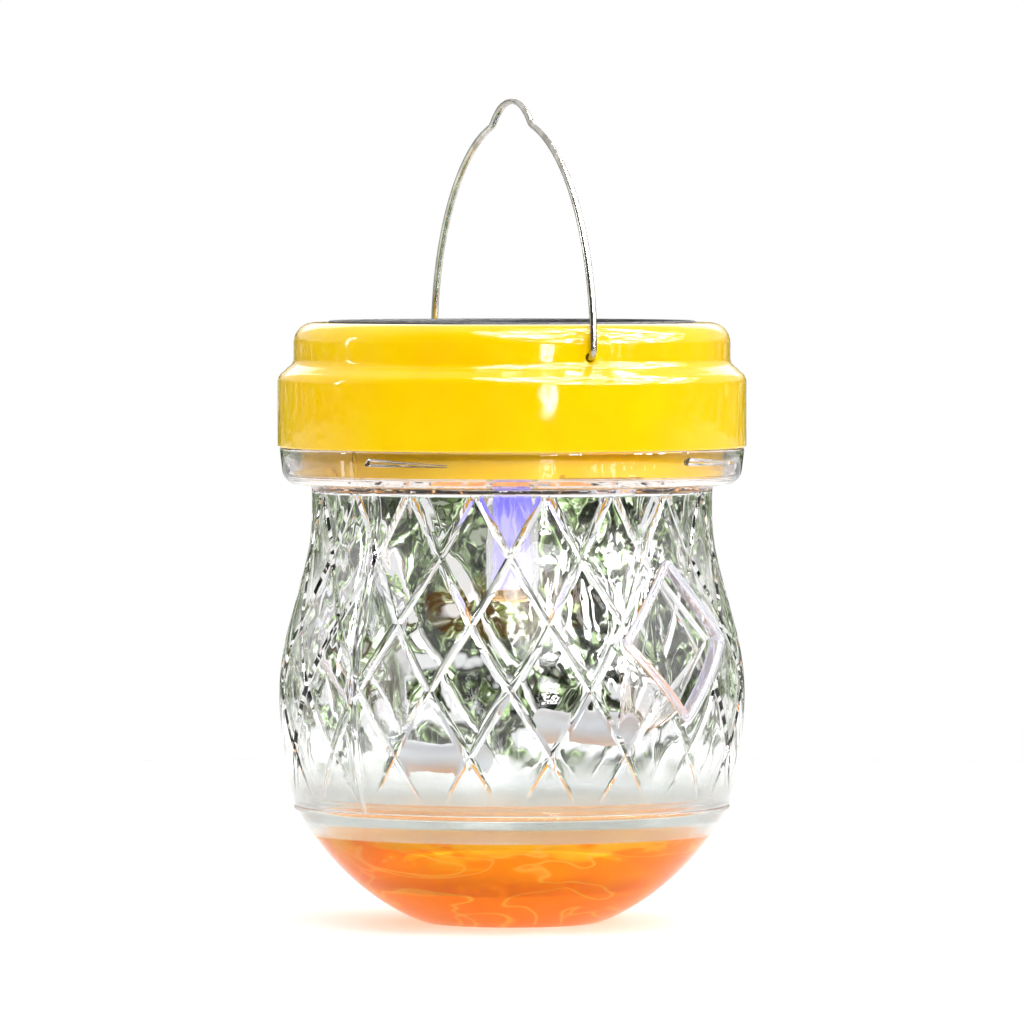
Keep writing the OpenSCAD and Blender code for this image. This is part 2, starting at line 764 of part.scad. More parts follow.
// One side of the bail, from the middle of the hump to the end of its pivot pin
module bail_side() {
    wire_joint(0, hump_h);
    wire_joint(hump_r * cos(hump_end), hump_z + hump_r * sin(hump_end));
    wire_joint(bail_r * cos(arc_end), arc_drop + bail_r * sin(arc_end));
    wire_arc(wire_r, 0, hump_z, hump_r, hump_end, 90);
    wire_arc(wire_r, fillet_x, fillet_z, fillet_r, 180 + hump_end, 180 + arc_end);
    wire_arc(wire_r, 0, arc_drop, bail_r, 0, arc_end);
    translate([bail_r, elbow_r, 0])
        rotate([-90, 0, 0]) cylinder(r = wire_r, h = arc_drop - elbow_r, $fn = 24);
    wire_arc(wire_r, bail_r - elbow_r, elbow_r, elbow_r, -90, 0);
    translate([pin_end_r, 0, 0])
        rotate([0, 90, 0]) cylinder(r = wire_r, h = bail_r - elbow_r - pin_end_r);
}

// Steel wire bail with a hump to hang it by
module bail_wire() {
    color(steel)
        translate([0, 0, pivot_z])
            rotate([0, 0, bail_angle - 90])
                rotate([90, 0, 0]) {
                    bail_side();
                    mirror([1, 0, 0]) bail_side();
                }
}

jar_half_front();
jar_half_back();
jar_bowl();
bait_liquid();
entry_frame_front();
entry_frame_back();
entry_funnel_front();
entry_funnel_back();
entry_tunnel_front();
entry_tunnel_back();
lid_seal();
lid_shell();
panel_gasket();
panel_board();
solar_cells();
panel_cover();
circuit_board();
board_parts();
board_screws();
uv_led();
light_guide();
diffuser_rod();
guide_cap();
lid_tray();
tray_screws();
battery();
contact_spring();
contact_plate();
battery_cover();
cover_screw();
switch_housing();
switch_knob();
panel_wires();
battery_wires();
bail_wire();
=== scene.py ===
"""The looks of a solar wasp trap: a cut-glass style clear jar with a bowl of bait, two funnel entries,
a yellow lid with a solar panel and a violet lamp, and a wire bail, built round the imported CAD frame.

Lengths are in millimetres until a mesh is made, apart from the camera's and the lights', which are in
metres. An azimuth is measured from the front of the jar, which is -Y, towards +X, in degrees."""

import math

import bmesh
import bpy
import numpy as np
from mathutils import Matrix, Vector


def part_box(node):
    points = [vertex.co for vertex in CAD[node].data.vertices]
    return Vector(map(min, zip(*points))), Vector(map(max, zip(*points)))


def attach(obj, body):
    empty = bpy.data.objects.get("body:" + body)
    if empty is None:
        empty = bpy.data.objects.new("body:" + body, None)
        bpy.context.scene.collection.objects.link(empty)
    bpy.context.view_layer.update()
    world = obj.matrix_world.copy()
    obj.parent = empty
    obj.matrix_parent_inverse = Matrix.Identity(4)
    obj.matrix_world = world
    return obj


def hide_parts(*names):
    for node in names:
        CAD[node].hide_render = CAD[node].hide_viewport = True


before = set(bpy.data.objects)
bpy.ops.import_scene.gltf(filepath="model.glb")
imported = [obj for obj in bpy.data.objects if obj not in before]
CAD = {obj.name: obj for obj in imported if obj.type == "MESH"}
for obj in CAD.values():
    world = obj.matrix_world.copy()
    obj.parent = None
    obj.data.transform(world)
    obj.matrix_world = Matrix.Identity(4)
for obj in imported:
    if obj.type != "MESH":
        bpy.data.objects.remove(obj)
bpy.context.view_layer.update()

MM = 0.001
WELD = 1e-6


def low(node, axis="z"):
    """Lowest coordinate of a CAD node, in millimetres."""
    return getattr(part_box(node)[0], axis) / MM


def high(node, axis="z"):
    """Highest coordinate of a CAD node, in millimetres."""
    return getattr(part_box(node)[1], axis) / MM


# ---------------------------------------------------------------- sizes

# Jar
BELLY_R = 52.2
BELLY_Z = 52.0
BELLY_CURVE = 182.0
NECK_R = 44.9
NECK_Z = 92.0
WALL = 2.2
COLLAR_R = 51.6
COLLAR_LEAN = 0.5
COLLAR_Z = 98.2
COLLAR_WALL = 2.0
COLLAR_TOP = high("jar_half_front")
JOINT_Z = low("jar_half_front")
BEAD_H = 1.1
BEAD_OUT = 0.3

# Bowl and bait
BOWL_R = 54.0
BOWL_CENTRE_Z = 50.0
BOWL_WALL = 2.0
LIP_H = 2.4
LIP_WALL = 1.3
BAIT_Z = high("bait_liquid")

# Diamond cuts
CELL_ANGLE = 10.0
CELL_H = 14.5
CUT_ROW_Z = 54.1
CUT_OFFSET = 2.0
CUT_STEPS = 15
GROOVE_SHARE = 2 / 15
GROOVE_DEPTH = 0.6
BEVEL_SHARE = 6 / 15
BEVEL_DEPTH = 0.06
PILLOW_DEPTH = 0.05
LEAN_DEPTH = 0.16
RIPPLE_DEPTH = 0.06
CELL_HASH = (12.9898, 78.233, 43758.5453)
CUT_TOP_Z = 97.6
CUT_FULL_Z = 38.5
CUT_POINT_Z = 28.8
CUT_FADE_H = 2.5
FIRST_CELL = -9.2
LAST_CELL = 8.8

# Seams between the half shells
SEAM_GAP_ANGLE = 0.04
SEAM_RIB_ANGLE = 1.0
SEAM_RIB_H = 0.25
SEAM_FADE_ANGLE = 0.35

# Bayonet
PLUG_R = 47.6
PLUG_WALL = 1.5
BAYONET_SPAN = 23.0
BAYONET_TIP = 0.35
BAYONET_COUNT = 4
RAMP_Z = 103.1
RAMP_H = 1.8
RAMP_ANGLE = -75.7
RAMP_STEPS = 10
RAMP_R = PLUG_R + 0.3
LUG_Z = 101.0
LUG_H = 1.8
LUG_ANGLE = -23.4
LUG_R = COLLAR_R - COLLAR_WALL - 0.3

# Entries
FRAME_Z = 64.4
FRAME_W = 17.0
FRAME_H = 18.5
BAR_W = 2.4
BEZEL_OUT = 1.15
FRAME_CLEAR_W = 1.0
FRAME_FADE_W = 1.4
LOZENGE_SLOPE = 0.72
FUNNEL_MOUTH_Y = 46.1
FUNNEL_TILT = 9.8
FUNNEL_THROAT_Y = 35.0
FUNNEL_WALL = 0.9
TUNNEL_BORE = 3.1
TUNNEL_WALL = 0.6
TUNNEL_BULB_WALL = 0.9
TUNNEL_LIP_WALL = 0.75
TUNNEL_BULB_SHARE = 0.25
TUNNEL_START = -low("entry_tunnel_front", "y")
TUNNEL_END = -high("entry_tunnel_front", "y")

# Lid
SKIRT_R = high("lid_shell", "x")
SKIRT_Z = 107.2
LIP_Z = 106.4
FLARE_LOW_Z = 121.4
FLARE_HIGH_Z = 126.2
TIER_R = 48.9
SHOULDER_R = 4.5
LID_TOP = high("lid_shell")
LID_WALL = 1.8
PLUG_Z = low("lid_shell")
RECESS_R = 41.2
PANEL_BED_Z = low("panel_board")
DECK_T = 1.8
GASKET_PROUD = 0.45
BOSS_R = 3.0
BOSS_RING_R = 36.0
BOSS_COUNT = 3
TRAY_TOP = low("switch_housing")
PANEL_R = high("panel_board", "x")

# Lamp
GUIDE_R = 6.0
GUIDE_BORE = 4.5
GUIDE_Z = low("light_guide")
GUIDE_TOP = high("light_guide")
GUIDE_FLANGE_R = high("light_guide", "x")
GUIDE_FLANGE_H = 1.4

# Bail
WIRE_R = 0.8
PIVOT_Z = 127.1
BAIL_ANGLE = -26.8
BAIL_R = 50.4
ARC_DROP = 2.5
HUMP_R = 16.5
HUMP_TOP = high("bail_wire") - PIVOT_Z - WIRE_R
BAIL_FILLET = 4.0
ELBOW_R = 1.9
PIN_END = 43.6
WIRE_SIDES = 20
BAIL_HOLE_R = 1.05
BEARING_R = 2.7
BEARING_IN = 44.6

# Camera, at the photograph's angle, in metres
VIEW_AZIMUTH = -47.5
CAMERA_DISTANCE = 2.0
CAMERA_Z = 0.157
AIM_Z = 0.0918
FIELD_OF_VIEW = 6.565

# Lights, in metres: azimuth from the view, distance, z, width, height, watts, whether seen in gloss
SOFTBOXES = {
    "front": (15, 1.4, 0.7, 0.7, 0.5, 11, False),
    "right": (65, 1.2, 0.5, 0.4, 0.5, 2, False),
    "left": (-95, 1.2, 0.4, 0.05, 0.5, 2, True),
    "back": (180, 1.3, 0.7, 1.2, 0.6, 4, True),
    "top": (30, 0.15, 1.3, 1.0, 1.0, 10, False),
}
LIGHT_AIM_Z = 0.08

# What glass and gloss see round the jar: tones over noise, then patches of light in the room
GARDEN_TONES = [
    (0.45, (0.012, 0.014, 0.008)),
    (0.505, (0.09, 0.095, 0.065)),
    (0.55, (0.38, 0.4, 0.32)),
    (0.59, (1.3, 1.3, 1.3)),
]
LEAF_TONES = [
    (0.43, (0.14, 0.17, 0.07)),
    (0.485, (0.28, 0.56, 0.06)),
    (0.535, (0.7, 1.0, 0.35)),
    (0.57, (1.3, 1.3, 1.3)),
]
ROOM_TONES = [(0.35, (0.03, 0.03, 0.025)), (0.65, (0.16, 0.16, 0.15))]
SKY_TONE = (0.95, 0.95, 0.93, 1)
FRONT_GROUND = (0.12, 0.12, 0.11, 1)
BACK_GROUND = (0.9, 0.9, 0.9, 1)
FLAME_AZIMUTH = VIEW_AZIMUTH + 60
FLAME_ELEVATION = 50
FLAME_EDGE = (math.cos(0.85), math.cos(0.7))
FLAME_LIGHT = 60.0
STREAK_AZIMUTH = VIEW_AZIMUTH + 18
STREAK_EDGE = (math.cos(0.14), math.cos(0.11))
STREAK_OUTER = 0.075
STREAK_INNER = 0.06
STREAK_LIGHT = 50.0
GROUND_EDGE = (-0.064, -0.058)
SKY_EDGE = (0.13, 0.06)

# Tones of the lamp and the bait, from the bottom up
LAMP_TONES = [
    (0.4, (0.62, 0.58, 0.88)),
    (0.7, (0.56, 0.53, 0.88)),
    (0.84, (0.22, 0.2, 0.87)),
    (0.97, (0.16, 0.15, 0.87)),
]
BAIT_TONES = [
    (0.15, (1.0, 0.24, 0.0)),
    (0.5, (1.0, 0.25, 0.0)),
    (0.6, (1.0, 0.29, 0.0)),
    (0.88, (1.0, 0.34, 0.0)),
    (1.0, (1.0, 0.58, 0.02)),
]

# Clear plastic
PLASTIC_IOR = 1.49
MOULDING_PATCH = 9.0
MOULDING_BUMP = 0.02


# ---------------------------------------------------------------- outlines


def arc(x, y, radius, start, end, steps):
    """Points on an arc about (x, y), from one angle to another in degrees."""
    turn = np.radians(np.linspace(start, end, steps + 1))
    return [(x + radius * math.cos(t), y + radius * math.sin(t)) for t in turn]


def rounded(corners, steps=5):
    """Closed outline through (x, y, radius) corners; a corner with no radius stays sharp."""
    points = []
    for i, corner in enumerate(corners):
        here = np.array(corner[:2], float)
        radius = corner[2] if len(corner) > 2 else 0
        back = np.array(corners[i - 1][:2], float) - here
        ahead = np.array(corners[(i + 1) % len(corners)][:2], float) - here
        back_len = np.linalg.norm(back)
        ahead_len = np.linalg.norm(ahead)
        if radius == 0 or back_len < WELD or ahead_len < WELD:
            points.append(tuple(here))
            continue
        back = back / back_len
        ahead = ahead / ahead_len
        half = math.acos(float(np.clip(back @ ahead, -1, 1))) / 2
        if half > math.radians(89):
            points.append(tuple(here))
            continue
        reach = min(radius / math.tan(half), 0.48 * back_len, 0.48 * ahead_len)
        centre = here + (back + ahead) / np.linalg.norm(back + ahead) * reach / math.cos(half)
        start = here + back * reach - centre
        end = here + ahead * reach - centre
        first = math.atan2(start[1], start[0])
        turn = (math.atan2(end[1], end[0]) - first + math.pi) % (2 * math.pi) - math.pi
        size = np.linalg.norm(start)
        for k in range(steps + 1):
            angle = first + turn * k / steps
            points.append((centre[0] + size * math.cos(angle), centre[1] + size * math.sin(angle)))
    return points


def band_outline(inner, outer, bottom, top, corner_radii):
    """Closed outline between two radii and two heights, its corners rounded from the inner lower one on."""
    corners = [(inner, bottom), (outer, bottom), (outer, top), (inner, top)]
    return rounded([(*corner, radius) for corner, radius in zip(corners, corner_radii)])


def shell_r(z):
    """Outer radius of the jar's wall at a height: a round belly, then a soft S up to the neck."""
    z = np.asarray(z, float)
    under = BELLY_R - (BELLY_Z - z) ** 2 / BELLY_CURVE
    share = np.clip((z - BELLY_Z) / (NECK_Z - BELLY_Z), 0, 1)
    over = (BELLY_R + NECK_R) / 2 + (BELLY_R - NECK_R) / 2 * np.cos(np.pi * share)
    return np.where(z < BELLY_Z, under, over)


def ring_point(radius, azimuth, z):
    """A point at a radius and azimuth round the jar's axis."""
    turn = np.radians(azimuth)
    return np.stack(np.broadcast_arrays(radius * np.sin(turn), -radius * np.cos(turn), z), axis=-1)


# ---------------------------------------------------------------- meshes


def clean(mesh, face_out):
    """Welds a mesh's doubled points and drops its empty faces; face_out turns its normals outward."""
    work = bmesh.new()
    work.from_mesh(mesh)
    bmesh.ops.remove_doubles(work, verts=work.verts, dist=WELD)
    bmesh.ops.dissolve_degenerate(work, edges=work.edges, dist=WELD)
    if face_out:
        bmesh.ops.recalc_face_normals(work, faces=work.faces)
    work.to_mesh(mesh)
    work.free()


def make_mesh(name, points, faces):
    """A clean closed mesh in metres from points in millimetres."""
    mesh = bpy.data.meshes.new(name)
    mesh.from_pydata((np.asarray(points, float) * MM).tolist(), [], faces)
    clean(mesh, face_out=True)
    return mesh


def add_object(name, mesh):
    """A new object in the scene, with no body yet."""
    obj = bpy.data.objects.new(name, mesh)
    bpy.context.scene.collection.objects.link(obj)
    return obj


def combine(target, tool, operation):
    """Applies a Boolean to target's mesh, and removes the tool."""
    cut = target.modifiers.new(operation, "BOOLEAN")
    cut.operation = operation
    cut.solver = "EXACT"
    cut.object = tool
    bpy.context.view_layer.update()
    graph = bpy.context.evaluated_depsgraph_get()
    result = bpy.data.meshes.new_from_object(target.evaluated_get(graph))
    target.modifiers.clear()
    target.data = result
    bpy.data.objects.remove(tool)
    clean(result, face_out=False)


def settle(obj, cad_node, body, finish, slot=None, sharp=32):
    """Shades a piece, gives it its finish and puts it on its body in place of its CAD node; its slot argument
    is not used.
    """
    obj.data.shade_smooth()
    obj.data.set_sharp_from_angle(angle=math.radians(sharp))
    obj.data.materials.clear()
    obj.data.materials.append(FINISH[finish])
    slot = slot or finish
    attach(obj, body)
    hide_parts(cad_node)


def band_faces(count, size, closed=True):
    """Quads between neighbouring rings of size points each, and from the last to the first if closed."""
    faces = []
    for j in range(count if closed else count - 1):
        here = j * size
        there = (j + 1) % count * size
        for i in range(size):
            k = (i + 1) % size
            faces.append((here + i, here + k, there + k, there + i))
    return faces


def turned(outline, columns=192, place=None):
    """Points and faces of a closed (radius, height) outline turned all the way round the Z axis."""
    rings = len(outline)
    radius = np.array([p[0] for p in outline])
    height = np.array([p[1] for p in outline])
    azimuths = np.arange(columns) * 360 / columns
    points = ring_point(radius[None, :], azimuths[:, None], height[None, :]).reshape(-1, 3)
    if place is not None:
        points = np.array([place @ Vector(p) for p in points])
    on_axis = radius < WELD
    quads = band_faces(columns, rings)
    return points, [q for q in quads if not (on_axis[q[0] % rings] and on_axis[q[1] % rings])]


def lathe(cad_node, outline, body, finish, slot=None, columns=192, sharp=32):
    """A turned piece, settled on its body."""
    name = f"{cad_node}_visual"
    obj = add_object(name, make_mesh(name, *turned(outline, columns)))
    settle(obj, cad_node, body, finish, slot, sharp)


def tube(points, radius, side):
    """Points and faces of a round wire along a flat path; side is the path's plane normal."""
    path = np.asarray(points, float)
    ahead = np.gradient(path, axis=0)
    ahead /= np.linalg.norm(ahead, axis=1)[:, None]
    normal = np.asarray(side, float)
    across = np.cross(ahead, normal)
    turn = np.radians(np.arange(WIRE_SIDES) * 360 / WIRE_SIDES)[None, :, None]
    ring = across[:, None, :] * np.cos(turn) + normal[None, None, :] * np.sin(turn)
    verts = (path[:, None, :] + ring * radius).reshape(-1, 3)
    faces = band_faces(len(path), WIRE_SIDES, closed=False)
    faces.append(tuple(range(WIRE_SIDES)))
    faces.append(tuple((len(path) - 1) * WIRE_SIDES + k for k in range(WIRE_SIDES)))
    return verts, faces


# ---------------------------------------------------------------- materials

FINISH = {}


def feed(tree, target, inputs):
    """Sets a node's inputs, each to a constant or a socket to link."""
    for key, value in inputs.items():
        if isinstance(value, bpy.types.NodeSocket):
            tree.links.new(value, target.inputs[key])
        else:
            target.inputs[key].default_value = value


def node(tree, kind, inputs=None, **settings):
    """A new shader node with its inputs and settings."""
    made = tree.nodes.new(f"ShaderNode{kind}")
    for key, value in settings.items():
        setattr(made, key, value)
    feed(tree, made, inputs or {})
    return made


def ramp(tree, factor, stops):
    """A colour ramp over (place, colour) stops."""
    made = node(tree, "ValToRGB", {"Fac": factor})
    elements = made.color_ramp.elements
    while len(elements) < len(stops):
        elements.new(1.0)
    for element, (place, colour) in zip(elements, stops):
        element.position = place
        element.color = (*colour, 1)
    return made.outputs["Color"]


def noise(tree, size, detail=2.0, distortion=0.0, stretch=(1, 1, 1)):
    """Noise whose patches are about size millimetres across, in object space."""
    place = node(tree, "TexCoord").outputs["Object"]
    scaled = node(tree, "Mapping", {"Vector": place, "Scale": stretch}).outputs["Vector"]
    made = node(
        tree,
        "TexNoise",
        {"Vector": scaled, "Scale": 1 / (size * MM), "Detail": detail, "Distortion": distortion},
    )
    return made.outputs["Fac"]


def between(tree, factor, lowest, highest):
    """Maps 0.3..0.7 of a noise to a range."""
    made = node(
        tree,
        "MapRange",
        {"Value": factor, "From Min": 0.3, "From Max": 0.7, "To Min": lowest, "To Max": highest},
    )
    return made.outputs["Result"]


def math_node(tree, operation, a, b):
    """A sum, product or other operation on two values."""
    return node(tree, "Math", {0: a, 1: b}, operation=operation).outputs["Value"]


def span(tree, value, start, end):
    """Rises from 0 to 1 as a value goes from start to end."""
    made = node(tree, "MapRange", {"Value": value, "From Min": start, "From Max": end})
    return made.outputs["Result"]


def times(tree, *values):
    """The product of values."""
    result = values[0]
    for value in values[1:]:
        result = math_node(tree, "MULTIPLY", result, value)
    return result


def mix_colour(tree, factor, a, b, blend="MIX"):
    """Mixes two colours."""
    made = node(
        tree, "Mix", {"Factor": factor, "A": a, "B": b}, data_type="RGBA", blend_type=blend
    )
    return made.outputs["Result"]


def object_axis(tree, axis):
    """One coordinate of a point of the object, in metres."""
    place = node(tree, "TexCoord").outputs["Object"]
    return node(tree, "SeparateXYZ", {"Vector": place}).outputs[axis]


def new_material(name):
    """An empty node material in FINISH, with its tree, output and Principled shader."""
    made = bpy.data.materials.new(name)
    FINISH[name] = made
    made.use_nodes = True
    tree = made.node_tree
    tree.nodes.clear()
    shader = node(tree, "BsdfPrincipled")
    output = node(tree, "OutputMaterial", {"Surface": shader.outputs["BSDF"]})
    return tree, shader, output


def finished(name):
    """The tree and the Principled shader of a finish that exists."""
    tree = FINISH[name].node_tree
    return tree, next(n for n in tree.nodes if n.type == "BSDF_PRINCIPLED")


def dress(tree, shader, base, roughness, relief, constants):
    """Gives a shader its base colour, roughness and relief, and constants named with _ for a space."""
    feed(tree, shader, {"Base Color": base, "Roughness": roughness, "Normal": relief.outputs["Normal"]})
    feed(tree, shader, {key.replace("_", " "): value for key, value in constants.items()})


def mix_shaders(tree, output, factor, first, second):
    """Sends the output a mix of two shaders."""
    both = node(tree, "MixShader", {0: factor, 1: first, 2: second})
    feed(tree, output, {"Surface": both.outputs["Shader"]})


def solid(
    name, dark, light, rough, patch=6.0, grain=0.4, bump=0.04, stretch=(1, 1, 1), wave=0.0, **constants
):
    """An opaque finish: two close colours in soft patches, uneven gloss, a fine grain and soft waves."""
    tree, shader, _ = new_material(name)
    soft = noise(tree, patch, 3.0, 0.4, stretch)
    fine = noise(tree, grain, 3.0, 0.0, stretch)
    relief = node(tree, "Bump", {"Height": fine, "Strength": bump, "Distance": grain * MM * 0.3})
    if wave > 0:
        swell = node(tree, "Bump", {"Height": noise(tree, 7.0), "Distance": wave * MM})
        feed(tree, relief, {"Normal": swell.outputs["Normal"]})
    base = ramp(tree, soft, [(0.35, dark), (0.65, light)])
    dress(tree, shader, base, between(tree, fine, *rough), relief, constants)


def clear(name, tint, shadow, rough, **constants):
    """A clear or frosted finish with a faint moulding ripple, whose shadows let light through."""
    tree, shader, output = new_material(name)
    ripple = noise(tree, MOULDING_PATCH, 2.0, 0.6)
    pale = tuple(min(1.0, c * 1.015) for c in tint)
    ripple_height = MOULDING_PATCH * MM * 0.1
    relief = node(
        tree, "Bump", {"Height": ripple, "Strength": MOULDING_BUMP, "Distance": ripple_height}
    )
    base = ramp(tree, ripple, [(0.3, tint), (0.7, pale)])
    constants = {"Transmission_Weight": 1.0, "IOR": PLASTIC_IOR, **constants}
    dress(tree, shader, base, between(tree, ripple, *rough), relief, constants)
    shadow_ray = node(tree, "LightPath").outputs["Is Shadow Ray"]
    through = node(tree, "BsdfTransparent", {"Color": (*shadow, 1)})
    mix_shaders(tree, output, shadow_ray, shader.outputs["BSDF"], through.outputs["BSDF"])


clear("clear_jar", (0.98, 0.985, 0.985), (0.9, 0.91, 0.9), (0.0, 0.03))
clear(
    "clear_bowl", (0.98, 0.985, 0.98), (0.96, 0.97, 0.96), (0.0, 0.02), IOR=1.3,
    Specular_Tint=(1.0, 0.85, 0.6, 1),
)
clear("clear_entry", (0.97, 0.97, 0.985), (0.95, 0.95, 0.97), (0.0, 0.04))
clear("frame_plastic", (0.92, 0.91, 0.985), (0.95, 0.95, 0.97), (0.02, 0.06), Transmission_Weight=0.8)
clear(
    "frosted_entry", (0.7, 0.73, 0.78), (0.8, 0.8, 0.82), (0.3, 0.45), IOR=1.45, Transmission_Weight=0.7
)
clear(
    "bait", (1.0, 0.44, 0.0), (1.0, 0.97, 0.93), (0.0, 0.02), IOR=1.36, Transmission_Weight=0.6,
    Specular_Tint=(1.0, 0.6, 0.1, 1),
)
clear("clear_guide", (0.93, 0.93, 0.99), (0.95, 0.95, 0.98), (0.02, 0.06))
clear("amber_cap", (0.98, 0.66, 0.30), (0.95, 0.8, 0.6), (0.1, 0.2))
clear("panel_resin", (0.95, 0.97, 0.97), (0.95, 0.97, 0.97), (0.02, 0.08), IOR=1.52)
clear("led_lens", (0.85, 0.8, 1.0), (0.9, 0.85, 1.0), (0.05, 0.1), IOR=1.52)
solid(
    "lid_yellow", (1.0, 0.6, 0.0), (1.0, 0.66, 0.0), (0.06, 0.1), patch=18, bump=0.02, wave=0.16,
    Coat_Weight=0.1, Coat_Roughness=0.02, Specular_IOR_Level=0.35,
)
solid("tray_yellow", (0.86, 0.53, 0.0), (0.92, 0.58, 0.01), (0.34, 0.5), patch=14, grain=0.6, bump=0.12)
solid("seal_rubber", (0.74, 0.74, 0.71), (0.82, 0.82, 0.79), (0.45, 0.6), bump=0.1)
solid("black_rubber", (0.012, 0.012, 0.013), (0.03, 0.03, 0.032), (0.5, 0.7), bump=0.2)
solid("board_green", (0.01, 0.11, 0.035), (0.02, 0.17, 0.06), (0.3, 0.42), patch=1.5)
solid("chip_black", (0.015, 0.015, 0.017), (0.04, 0.04, 0.042), (0.4, 0.55), bump=0.15)
solid("black_plastic", (0.02, 0.02, 0.022), (0.04, 0.04, 0.043), (0.35, 0.5), bump=0.1)
solid("knob_white", (0.74, 0.74, 0.72), (0.83, 0.83, 0.8), (0.35, 0.5), bump=0.1)
solid("battery_wrap", (0.02, 0.25, 0.12), (0.04, 0.35, 0.17), (0.22, 0.3), patch=8)
solid("wire_cover", (0.42, 0.015, 0.015), (0.55, 0.03, 0.025), (0.35, 0.45), patch=3)
solid("screw_steel", (0.5, 0.5, 0.52), (0.68, 0.68, 0.7), (0.22, 0.4), patch=1.2, Metallic=1.0)
solid("contact_metal", (0.62, 0.6, 0.56), (0.78, 0.76, 0.72), (0.2, 0.35), patch=2, Metallic=1.0)
solid(
    "bail_steel", (0.36, 0.34, 0.31), (0.62, 0.6, 0.57), (0.14, 0.3), patch=3.5, grain=0.25,
    bump=0.1, stretch=(1, 1, 0.2), Metallic=1.0,
)


def lamp_finish():
    """Frosted rod lit violet from above: brightest at the top, fading and mottled down the tube."""
    tree, shader, _ = new_material("violet_diffuser")
    share = times(tree, span(tree, object_axis(tree, "Z"), GUIDE_Z * MM, COLLAR_Z * MM), 0.6)
    mottle = times(tree, noise(tree, 1.3, 2.0, 1.0, (1, 1, 0.3)), 0.7)
    glow = ramp(tree, math_node(tree, "ADD", share, mottle), LAMP_TONES)
    feed(tree, shader, {"Emission Color": glow, "Emission Strength": 1.1, "Base Color": (0.2, 0.18, 0.5, 1)})
    feed(tree, shader, {"Roughness": between(tree, noise(tree, 0.5), 0.4, 0.6)})


def deepen_bait():
    """Lets the bait's amber deepen to orange towards the bottom, with swirls and thin pale lines of painted
    caustic highlight.
    """
    tree, shader = finished("bait")
    level = span(tree, object_axis(tree, "Z"), 0.0, BAIT_Z * MM)
    swirl = math_node(tree, "SUBTRACT", noise(tree, 9.0, 2.0, 1.5, (0.5, 0.5, 1.6)), 0.5)
    amber = ramp(tree, math_node(tree, "ADD", level, swirl), BAIT_TONES)
    # painted highlight: thin pale lines where a noise crosses its middle stand in for caustics in the bait
    caustic_noise = noise(tree, 26.0, 1.0, 2.5, (0.6, 0.6, 2.4))
    gleam = ramp(tree, caustic_noise, [(0.46, (0, 0, 0)), (0.485, (1, 1, 1)), (0.51, (0, 0, 0))])
    feed(tree, shader, {"Base Color": mix_colour(tree, gleam, amber, (1.0, 0.62, 0.1, 1))})


def silicon_finish():
    """Dark blue silicon with the fine silver fingers that cross each cell."""
    tree, shader, _ = new_material("solar_silicon")
    finger_pitch = 1.6 * MM
    finger_w = 0.07 * MM
    wave = math_node(tree, "PINGPONG", object_axis(tree, "Y"), finger_pitch / 2)
    finger = math_node(tree, "LESS_THAN", wave, finger_w)
    crystal = ramp(
        tree, noise(tree, 3.0, 2.0, 1.0), [(0.35, (0.006, 0.011, 0.05)), (0.65, (0.016, 0.03, 0.11))]
    )
    feed(tree, shader, {"Base Color": mix_colour(tree, finger, crystal, (0.55, 0.57, 0.6, 1))})
    feed(tree, shader, {"Roughness": between(tree, noise(tree, 0.8), 0.18, 0.32)})


def haze_and_painted_shade(name, start_z, full_z, rough, tint):
    """Greys and frosts a clear finish as the height goes from start_z to full_z; where rough is 0 it only
    tints, which on the collar is painted shade.
    """
    tree, shader = finished(name)
    share = span(tree, object_axis(tree, "Z"), start_z * MM, full_z * MM)
    colour = shader.inputs["Base Color"].links[0].from_socket
    roughness = shader.inputs["Roughness"].links[0].from_socket
    frosted = math_node(tree, "ADD", roughness, times(tree, share, rough))
    feed(tree, shader, {"Base Color": mix_colour(tree, share, colour, (*tint, 1)), "Roughness": frosted})


lamp_finish()
silicon_finish()
deepen_bait()
haze_and_painted_shade("clear_jar", JOINT_Z + 10, JOINT_Z + 4, 0.2, (0.85, 0.86, 0.86))
# painted shade: the collar is tinted brownish grey, unfrosted, for the dark reflections and shade over the
# yellow plug seen through it
haze_and_painted_shade("clear_jar", COLLAR_Z - 0.5, COLLAR_Z + 0.5, 0.0, (0.83, 0.78, 0.77))
haze_and_painted_shade("clear_bowl", BAIT_Z - 0.3, BAIT_Z + 0.3, 0.2, (0.84, 0.87, 0.88))


# ---------------------------------------------------------------- jar


def line_distance(place):
    """Distance to the nearest cut, where the cuts are at the odd whole numbers."""
    return np.abs(np.mod(place, 2) - 1)


def cell_lean(rising, falling):
    """How far each cell of the cutting leans, in its own direction, as a share of its height."""
    i = np.round(rising / 2)
    j = np.round(falling / 2)
    turn = 2 * np.pi * np.mod(np.sin(i * CELL_HASH[0] + j * CELL_HASH[1]) * CELL_HASH[2], 1)
    return (rising - 2 * i) * np.cos(turn) + (falling - 2 * j) * np.sin(turn)


